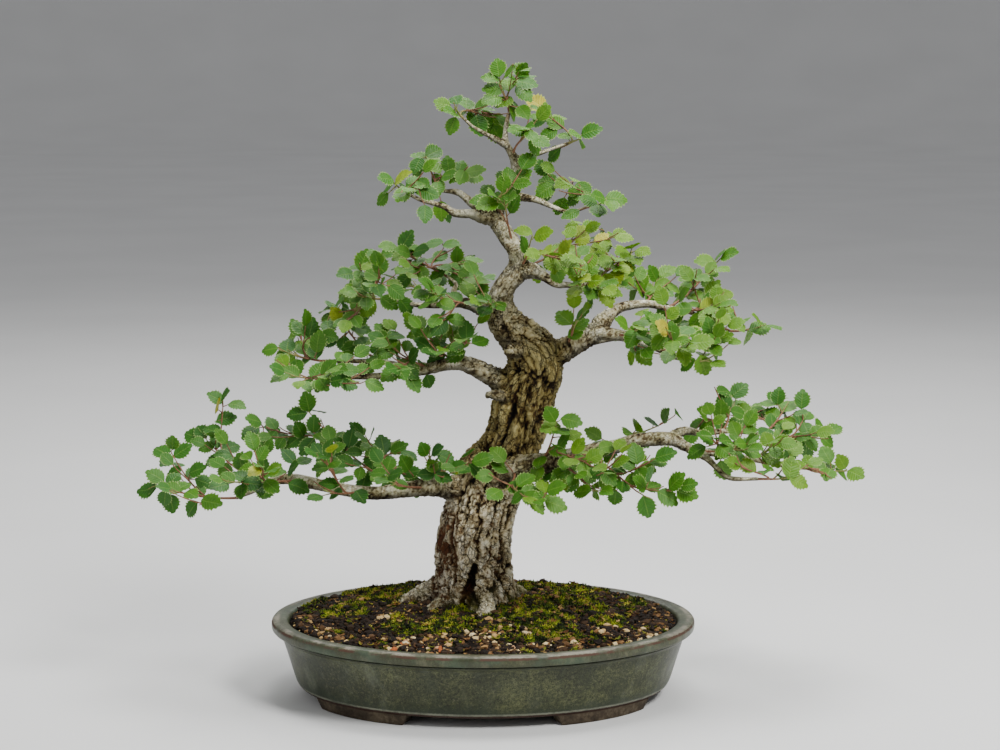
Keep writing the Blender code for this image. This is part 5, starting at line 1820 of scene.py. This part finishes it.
    def cut_bark(self, piece: Piece) -> None:
        """Moves the skin by the bark's relief and stores what the finish reads."""
        mesh = piece.data
        mesh.update()
        stored: dict[str, list[float]] = {"plate": [], "girth": [], "moss": [], "under": []}
        grains = []
        moves = []
        for vert in mesh.vertices:
            spot = self.relief(vert.co)
            cut = self.cleft(vert.co, vert.normal) if spot.stout > 0.012 else 0.0
            moves.append(vert.normal * (spot.rise - cut))
            low = vert.co.z - self.bed.smooth_height(vert.co.x, vert.co.y)
            damp = 0.5 + 0.5 * noise.noise(vert.co * 55)
            green = (1 - smoothstep(-0.002, 0.026, low)) * smoothstep(0.40, 0.66, damp)
            green *= 0.5 + 0.5 * (1 - spot.plate)
            # Painted shade: the deep clefts get a lower plate value, which the finish turns near black
            stored["plate"].append(spot.plate * (1 - 0.85 * smoothstep(0.0015, 0.006, cut)))
            stored["girth"].append(spot.stout)
            stored["moss"].append(green)
            # How far the skin faces down, which the finish uses to paint shade under the limbs
            stored["under"].append(smoothstep(0.30, -0.70, vert.normal.z))
            grains.extend(spot.grain)
        for vert, move in zip(mesh.vertices, moves):
            vert.co += move
        for name, values in stored.items():
            mesh.attributes.new(name, "FLOAT", "POINT").data.foreach_set("value", values)
        mesh.attributes.new("grain", "FLOAT_VECTOR", "POINT").data.foreach_set("vector", grains)

    def finished(self, piece: Piece, finish: Finish) -> Piece:
        """Cuts the bark of a joined piece and dresses it."""
        self.cut_bark(piece)
        Workbench.smooth(piece)
        Workbench.dress(piece, finish)
        return piece

    def bole(self, finish: Finish) -> Piece:
        """Fuses the trunk, its roots and the limbs' thick starts in one skin."""
        pieces = [self.routes["trunk"].tube(14)]
        for name, route in self.routes.items():
            if name in LIMBS:
                last = route.reached(self.limb_start + self.limb_overlap)
                pieces.append(route.cut(0, last + 1, False).tube(6))
            elif name != "trunk":
                pieces.append(route.tube(6))
        piece = Workbench.join("trunk_bark", pieces)
        Workbench.modify(piece, "REMESH", mode="VOXEL", voxel_size=self.voxel, adaptivity=0.0)
        Workbench.modify(piece, "SMOOTH", factor=0.5, iterations=5)
        return self.finished(piece, finish)

    def limbs(self, finish: Finish) -> Piece:
        """Makes the limbs past their starts."""
        pieces = []
        for name in LIMBS:
            route = self.routes[name]
            pieces.append(route.cut(route.reached(self.limb_start), len(route.points), True).tube(11))
        return self.finished(Workbench.join("limb_bark", pieces), finish)

    def build(self) -> None:
        """Builds the trunk and the limbs."""
        finish = BarkFinish().make()
        for piece in (self.bole(finish), self.limbs(finish)):
            Workbench.settle(piece, "bark", "trunk_and_limbs")


@dataclass
class LeafPattern:
    """One toothed elm leaf, modelled once, flat and 1 long, and bent anew for each copy."""

    teeth: int = 7
    half_width: float = 0.415
    thickness: float = 0.0150
    columns: int = 2
    # How far apart points of the flat leaf may lie to become one, in its lengths
    merge: float = 0.0001

    def outline(self, share: float) -> float:
        """Gives the half width at a share of the length, 0 to 1."""
        if not 0 < share < 1:
            return 0.0
        pointed = 1 - 0.30 * smoothstep(0.64, 1.0, share)
        return self.half_width * math.sin(math.pi * share**0.88) ** 0.70 * pointed

    def sheet(self, name: str, lift: float) -> Piece:
        """Shapes a grid into one face of the leaf.

        Args:
            name: The sheet's name.
            lift: How far the rib stands off the margins, up or down.

        Returns:
            The sheet, with x across, y along and z up.
        """
        rows = self.teeth * 2
        Workbench.clear_selection()
        bpy.ops.mesh.primitive_grid_add(x_subdivisions=self.columns, y_subdivisions=rows, size=2.0)
        piece = Workbench.newest(name)
        for vert in piece.data.vertices:
            row = round((vert.co.y + 1) / 2 * rows)
            across = vert.co.x
            share = row / rows
            margin = abs(across) > 0.99
            forward = 0.0
            width = self.outline(share)
            if margin and 0 < row < rows:
                width *= 1.085 if row % 2 else 0.865
                forward = 0.048 if row % 2 else 0.0
            height = lift * (1 - abs(across)) if 0 < row < rows else 0.0
            vert.co = Vector((across * width, share + forward, height))
        Workbench.pick(piece)
        Workbench.edit()
        bpy.ops.mesh.remove_doubles(threshold=self.merge)
        if lift < 0:
            bpy.ops.mesh.flip_normals()
        Workbench.leave()
        return piece

    def model(self) -> tuple[MeshStock, np.ndarray]:
        """Joins the two faces at the margin.

        Returns:
            The leaf, whose underside has slot 1, and the map of each point.
        """
        sheets = [self.sheet("leaf", self.thickness), self.sheet("leaf_under", -self.thickness)]
        for slot, sheet in enumerate(sheets):
            sheet.data.materials.append(None)
            sheet.data.materials.append(None)
            for polygon in sheet.data.polygons:
                polygon.material_index = slot
        leaf = Workbench.join("leaf", sheets)
        Workbench.tighten(leaf, self.merge, False)
        stock = MeshStock(leaf.data)
        share = np.clip(stock.points[:, 1], 0, 1)
        width = np.array([max(0.02, self.outline(s)) for s in share])
        uv = np.stack([0.5 + 0.5 * np.clip(stock.points[:, 0] / width, -1, 1), share], axis=1)
        bpy.data.objects.remove(leaf, do_unlink=True)
        return stock, uv

    @staticmethod
    def bend(points: np.ndarray, length: float, fold: float, arch: float, roll: float) -> np.ndarray:
        """Folds a flat leaf on its rib, arches it and curls its margins.

        Args:
            points: The flat leaf's points, 1 long.
            length: The leaf's length in metres.
            fold: Rise of the margins, as a share of the half width.
            arch: Droop of the tip, as a share of the length.
            roll: Sideways sweep of the tip, as a share of the length.

        Returns:
            The bent points in metres.
        """
        across, along, up = points[:, 0], points[:, 1], points[:, 2]
        bent = np.empty_like(points)
        bent[:, 0] = (across * (1 - 0.10 * fold) + roll * along**2) * length
        bent[:, 1] = (along - 0.25 * arch * along**3) * length
        wave = 0.010 * np.sin(along * 19 + across * 5)
        out = np.abs(across)
        bent[:, 2] = (up + fold * out - 0.35 * out**2 - arch * along**2 + wave) * length
        return bent


@dataclass
class Leaf:
    """Where one leaf stands: its base, its rib's direction, its face's direction, its length and its tone."""

    base: Vector
    axis: Vector
    normal: Vector
    length: float
    tone: float


@dataclass
class Spray:
    """One leafy spray: the routes of its twigs and its leaves."""

    name: str
    twigs: list[tuple[list[Vector], float, float]] = field(default_factory=list)
    leaves: list[Leaf] = field(default_factory=list)
    tint: float = 0.5


@dataclass
class Foliage:
    """Every spray, grown out from the limbs to its tips and to the leaves that the front view shows."""

    view: PhotoView
    wood: Wood
    leaf_length: float = 0.0212
    spacing: float = 0.0105
    root_radius: float = 0.00115
    tip_radius: float = 0.00048
    turn_depth: float = 0.115
    clear: float = 0.0098
    margin: float = 0.0002
    seed: int = 29
    # How near in the front view, in pixels, and how many of its leaves a further leaf needs
    pad_reach: float = 25
    pad_leaves: int = 6
    tries: int = 6
    stem_segments: int = 9
    sprays: dict[str, Spray] = field(default_factory=dict)
    taken: dict[tuple[int, ...], list[Vector]] = field(default_factory=dict)
    # How yellow each pad's leaves are, 0 to 1
    tints: tuple[tuple[str, float], ...] = (
        ("low_left", 0.30), ("low_right_1", 0.54), ("low_right_2", 0.54), ("low_right_3", 0.50),
        ("low_right", 0.42), ("mid_left", 0.38), ("high_left", 0.42), ("high_right", 0.66),
        ("mid_right", 0.52), ("top_left", 0.44), ("top_right", 0.50), ("crown", 0.46), ("back", 0.45),
    )

    def tint(self, name: str) -> float:
        """Looks up how yellow a spray's leaves are."""
        for start, value in self.tints:
            if name.startswith(start):
                return value
        return 0.5

    def limb_points(self, limb: str) -> list[Vector]:
        """Gives the knots of the limb that a spray grows from."""
        knots = TRUNK if limb == "trunk" else LIMBS[limb]
        return [self.view.sight(*k[:3]) for k in knots]

    @staticmethod
    def stem(root: Vector, heading: Vector, tip: Vector, segments: int) -> list[Vector]:
        """Bows a stem from its root, along its limb's heading, to its tip.

        Args:
            root: Where the stem starts.
            heading: The direction of what carries it.
            tip: Where it ends.
            segments: How many lengths to cut it into.

        Returns:
            The stem's points.
        """
        span = (tip - root).length
        along = (tip - root).normalized()
        leave = (along + heading * 0.6).normalized()
        arrive = (along + Vector((0, 0, 0.25))).normalized()
        first, second = root + leave * span * 0.33, tip - arrive * span * 0.33
        points = []
        for i in range(segments + 1):
            t = i / segments
            s = 1 - t
            points.append(root * s**3 + first * 3 * s * s * t + second * 3 * s * t * t + tip * t**3)
        return points

    @staticmethod
    def branching(route: list[Vector], tip: Vector) -> tuple[Vector, Vector]:
        """Finds where a stem to the tip best leaves a route, and the route's heading there."""
        best = None
        gone = 0.0
        for a, b in zip(route, route[1:]):
            for i in range(8):
                point = a.lerp(b, i / 8)
                cost = 1.6 * (tip - point).length + gone + (point - a).length
                if best is None or cost < best[0]:
                    best = (cost, point, (b - a).normalized())
            gone += (b - a).length
        if 1.6 * (tip - route[-1]).length + gone < best[0]:
            best = (0, route[-1], (route[-1] - route[-2]).normalized())
        return best[1], best[2]

    def grow_stems(self) -> None:
        """Grows each spray's main stems, as in the solids."""
        for name, (limb, tips) in SPRAYS.items():
            spray = Spray(name, tint=self.tint(name))
            leading: list[Vector] = []
            for number, mark in enumerate(tips):
                tip = self.view.sight(*mark)
                root, heading = self.branching(leading[1:-1] if number else self.limb_points(limb), tip)
                if not number:
                    leading = self.stem(root, heading, tip, 3)
                points = self.stem(root, heading, tip, self.stem_segments)
                spray.twigs.append((points, self.root_radius * (0.85 if number else 1.15), self.tip_radius))
            self.sprays[name] = spray

    def facing(self, depth: float, chance: random.Random) -> Vector:
        """Gives the direction in which leaves at a depth show their faces."""
        front = max(-1.0, min(1.0, (self.turn_depth - depth) / 0.030))
        return Vector((chance.uniform(-0.42, 0.42), -0.76 * front + chance.uniform(-0.30, 0.30), 0.76))

    def room(self, middle: Vector) -> bool:
        """Says whether a leaf's middle keeps clear of the others', and notes it if it does."""
        key = tuple(int(c // self.clear) for c in middle)
        for dx in (-1, 0, 1):
            for dy in (-1, 0, 1):
                for dz in (-1, 0, 1):
                    for other in self.taken.get((key[0] + dx, key[1] + dy, key[2] + dz), ()):
                        if (other - middle).length < self.clear:
                            return False
        self.taken.setdefault(key, []).append(middle)
        return True

    def set_leaf(
        self, spray: Spray, base: Vector, axis: Vector, depth: float, chance: random.Random, size: float = 1.0
    ) -> bool:
        """Adds a leaf to a spray where there is room for it.

        Args:
            spray: The spray that takes it.
            base: The leaf's base.
            axis: The wanted direction of its rib.
            depth: Metres behind the pot's middle.
            chance: The draw.
            size: Share of the usual length.

        Returns:
            Whether the leaf was set.
        """
        axis = axis.normalized()
        face = self.facing(depth, chance)
        normal = (face - axis * face.dot(axis)).normalized()
        length = self.leaf_length * size * chance.uniform(0.84, 1.10)
        if not self.room(base + axis * length * 0.5):
            return False
        tone = spray.tint + chance.gauss(0, 0.10) + (0.10 if size < 0.85 else 0)
        if chance.random() < 0.010:
            tone = chance.uniform(0.86, 1.0)
        spray.leaves.append(Leaf(base, axis, normal, length, min(1.0, max(0.0, tone))))
        return True

    def inner(self, spray: Spray, middle: Vector) -> bool:
        """Says whether a leaf would stay within its pad's outline as the front view shows it."""
        if spray.name.startswith("back"):
            return True
        shown = self.view.pixel(middle)
        near = sum(math.dist(shown, spot) < self.pad_reach for spots in LEAF_SPOTS.values() for spot in spots)
        return near >= self.pad_leaves

    def leaf_shoot(
        self, spray: Spray, points: list[Vector], chance: random.Random, start: float, size: float = 1.0
    ) -> None:
        """Sets leaves along a shoot, in turn on either side, with one at its end."""
        gaps = [(b - a).length for a, b in zip(points, points[1:])]
        whole = sum(gaps)
        turn = chance.choice((-1, 1))
        distance = 0.0
        count = 0
        while distance <= whole * (1 - start):
            left = distance
            for k in range(len(gaps) - 1, -1, -1):
                if left <= gaps[k]:
                    break
                left -= gaps[k]
            spot = points[k + 1].lerp(points[k], min(1.0, left / gaps[k]))
            ahead = (points[k + 1] - points[k]).normalized()
            depth = spot.y - self.view.origin[1]
            face = self.facing(depth, chance)
            across = ahead.cross((face - ahead * face.dot(ahead)).normalized())
            if count:
                spread = math.radians(chance.uniform(42, 66)) * turn * (-1) ** count
            else:
                spread = chance.uniform(-0.2, 0.2)
            droop = Vector((0, 0, -chance.uniform(0.05, 0.38)))
            axis = ahead * math.cos(spread) + across * math.sin(spread) + droop
            if self.inner(spray, spot + axis * self.leaf_length * 0.6):
                self.set_leaf(spray, spot, axis, depth, chance, size * (1.0 - 0.03 * min(count, 5)))
            distance += self.spacing * chance.uniform(0.85, 1.2)
            count += 1

    def reach_spots(self) -> None:
        """Sets a leaf at each spot that the front view shows, on a side twig where stems are further off."""
        chance = random.Random(self.seed)
        for pad, spots in LEAF_SPOTS.items():
            members = [s for n, s in self.sprays.items() if n.startswith(PAD_SPRAYS[pad])]
            nodes = [(p, s) for s in members for points, _, _ in s.twigs for p in points[2:]]
            order = sorted(spots, key=lambda spot: min(math.dist(spot, self.view.pixel(p)) for p, _ in nodes))
            for spot in order:
                near = sorted(nodes, key=lambda node: math.dist(spot, self.view.pixel(node[0])))[:7]
                close = math.dist(spot, self.view.pixel(near[0][0]))
                near = [n for n in near if math.dist(spot, self.view.pixel(n[0])) < close + 9]
                for _ in range(self.tries):
                    start, spray = near[chance.randrange(len(near))]
                    depth = start.y - self.view.origin[1] + chance.uniform(-0.016, 0.010)
                    middle = self.view.sight(*spot, depth)
                    away = middle - start
                    if away.length < 0.004:
                        away = Vector((chance.uniform(-1, 1), -0.3, -0.3))
                    sway = Vector((
                        chance.uniform(-0.25, 0.25), chance.uniform(-0.25, 0.25), chance.uniform(-0.3, 0.16)
                    ))
                    axis = (away.normalized() + sway).normalized()
                    base = middle - axis * self.leaf_length * 0.48
                    if self.set_leaf(spray, base, axis, depth, chance):
                        gap = (base - start).length
                        if gap > 0.0012:
                            bow = (base - start).lerp(axis * gap, 0.35).normalized()
                            middle_way = start + bow * gap * 0.55
                            twig = [start, middle_way, base + axis * 0.0012]
                            thick = self.tip_radius * (1.0 + min(0.9, gap / 0.02))
                            spray.twigs.append((twig, thick, self.tip_radius * 0.8))
                            if gap > 0.010:
                                nodes.append((middle_way, spray))
                            nodes.append((base, spray))
                        break

    def fill(self) -> None:
        """Sets leaves along the main stems, which gives the pads their depth."""
        for index, spray in enumerate(self.sprays.values()):
            chance = random.Random(self.seed + 100 + index)
            main = len(SPRAYS[spray.name][1])
            for number, (points, _, _) in enumerate(spray.twigs[:main]):
                self.leaf_shoot(spray, points, chance, 0.30 if number == 0 else 0.18)

    def side_shoots(self) -> None:
        """Adds short side shoots towards the back of each pad, where the front view can't tell."""
        for index, spray in enumerate(self.sprays.values()):
            chance = random.Random(self.seed + 500 + index)
            main = len(SPRAYS[spray.name][1])
            for points, _, _ in spray.twigs[:main]:
                for k in (3, 4, 5, 6, 7):
                    spot = points[k]
                    ahead = (points[k + 1] - points[k]).normalized()
                    depth = spot.y - self.view.origin[1]
                    back = (1.0 if depth > 0.03 else -1.0) * (1 if k % 2 else -1)
                    out = ahead * 0.7 + Vector((
                        chance.uniform(-0.3, 0.3), back * chance.uniform(0.4, 1.0), chance.uniform(-0.1, 0.35)
                    ))
                    tip = spot + out.normalized() * chance.uniform(0.020, 0.034)
                    if abs(tip.y) > cad_box[1][1] - 0.022:
                        continue
                    if self.inner(spray, tip):
                        twig = self.stem(spot, ahead, tip, 4)
                        spray.twigs.append((twig, self.tip_radius * 1.6, self.tip_radius))
                        self.leaf_shoot(spray, twig, chance, 0.25, 0.84)

    def twig_mesh(self, spray: Spray) -> Piece:
        """Sweeps all the twigs of a spray and makes them one mesh."""
        runs = []
        for points, thick, thin in spray.twigs:
            last = len(points) - 1
            runs.append((points, [thick + (thin - thick) * i / last for i in range(len(points))]))
        piece = Workbench.sweep("twigs", runs, 1)
        start = self.view.sight(*SPRAYS[spray.name][1][0])
        tones = [1.0 - smoothstep(0.0, 0.045, (v.co - start).length) for v in piece.data.vertices]
        piece.data.attributes.new("tone", "FLOAT", "POINT").data.foreach_set("value", tones)
        return piece

    def leaf_mesh(self, spray: Spray, stock: MeshStock, uv: np.ndarray) -> Piece:
        """Bends and places a copy of the leaf for each leaf of a spray."""
        chance = random.Random(sum(ord(letter) for letter in spray.name))
        crop = Crop("leaves")
        for leaf in spray.leaves:
            bent = LeafPattern.bend(
                stock.points, leaf.length, chance.uniform(0.05, 0.42), chance.uniform(0.04, 0.26),
                chance.uniform(-0.06, 0.06),
            )
            across = leaf.axis.cross(leaf.normal)
            basis = np.array([across, leaf.axis, leaf.normal])
            points = bent @ basis + np.array(leaf.base)
            points += np.maximum(np.array(cad_box[0]) + self.margin - points.min(axis=0), 0)
            points -= np.maximum(points.max(axis=0) - np.array(cad_box[1]) + self.margin, 0)
            crop.add_points(points, stock.faces, stock.slots, leaf.tone, uv)
        return crop.piece(with_uv=True)

    def build(self) -> None:
        """Grows every spray and makes its piece."""
        self.grow_stems()
        self.reach_spots()
        self.fill()
        self.side_shoots()
        stock, uv = LeafPattern().model()
        face = LeafFinish().make()
        under = LeafFinish("leaf_underside", True).make()
        twig = TwigFinish().make()
        total = 0
        for spray in self.sprays.values():
            leaves = self.leaf_mesh(spray, stock, uv)
            Workbench.dress(leaves, face, under)
            twigs = self.twig_mesh(spray)
            Workbench.dress(twigs, twig)
            piece = Workbench.join("foliage_" + spray.name, [leaves, twigs])
            Workbench.smooth(piece, 75)
            Workbench.settle(piece, "leaf", "spray_" + spray.name)
            total += len(spray.leaves)
        log.info("leaves in all: %d", total)


@dataclass
class Studio:
    """A pale floor and soft lights."""

    view: PhotoView
    floor_radius: float = 9.0
    sweep: float = 3.0
    sweep_steps: int = 12

    def floor(self) -> None:
        """Lays a wide round pale floor whose far edge curves up all the way round."""
        Workbench.clear_selection()
        bpy.ops.mesh.primitive_circle_add(vertices=96, radius=self.floor_radius, fill_type="NGON")
        piece = Workbench.newest("studio_floor")
        Workbench.edit(Tool.EDGES)
        bpy.ops.mesh.region_to_loop()
        reach, height = self.floor_radius, 0.0
        for step in range(1, self.sweep_steps + 1):
            angle = math.radians(90 * step / self.sweep_steps)
            further = self.floor_radius + self.sweep * math.sin(angle)
            rise = self.sweep * (1 - math.cos(angle))
            bpy.ops.mesh.extrude_region_move(TRANSFORM_OT_translate={"value": (0, 0, rise - height)})
            bpy.ops.transform.resize(value=(further / reach, further / reach, 1), center_override=(0, 0, 0))
            reach, height = further, rise
        Workbench.leave()
        Workbench.smooth(piece)
        mix = Mixer("studio_paper")
        paper = mix.ramp(mix.noise(3, 2, 0.4), [(0.3, 222, 222, 220), (0.7, 227, 227, 225)])
        Workbench.dress(piece, mix.finish(paper, 0.9))

    def lamp(self, name: str, place: Mark, power: float, size: float) -> None:
        """Hangs a square soft light that faces the tree."""
        light = bpy.data.lights.new(name, "AREA")
        light.energy = power
        light.size = size
        lamp = bpy.data.objects.new(name, light)
        lamp.location = place
        lamp.rotation_euler = (Vector(place) - Vector((0, 0, 0.28))).to_track_quat("Z", "Y").to_euler()
        bpy.context.scene.collection.objects.link(lamp)

    def build(self) -> None:
        """Sets up the floor, the lights and the camera."""
        self.floor()
        self.lamp("key_light", (1.1, -1.2, 1.9), 52.0, 0.7)
        self.lamp("fill_light", (-1.6, -1.3, 1.0), 7.0, 1.4)
        self.lamp("top_light", (0.2, 0.1, 2.1), 38.0, 0.9)
        self.lamp("back_light", (0.0, 1.6, 1.9), 22.0, 1.6)
        world = bpy.data.worlds.new("studio_air")
        world.use_nodes = True
        world.node_tree.nodes["Background"].inputs["Color"].default_value = (0.95, 0.96, 1.0, 1)
        world.node_tree.nodes["Background"].inputs["Strength"].default_value = 0.36
        bpy.context.scene.world = world
        self.view.set_up()


def main() -> None:
    """Builds every piece in order."""
    logging.basicConfig(level=logging.INFO, format="%(message)s")
    noise.seed_set(NOISE_SEED)
    view = PhotoView.over_pot()
    bed = Bed(view)
    wood = Wood(view, bed)
    wood.lay_out()
    GlazedPot(view).build()
    GritBed(view, bed, wood).build()
    wood.build()
    Foliage(view, wood).build()
    screen = ScreenFinish().make()
    for name in ("drain_screen_left", "drain_screen_right"):
        Workbench.dress(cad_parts[name], screen)
    Studio(view).build()
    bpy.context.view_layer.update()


if __name__ == "__main__":
    main()
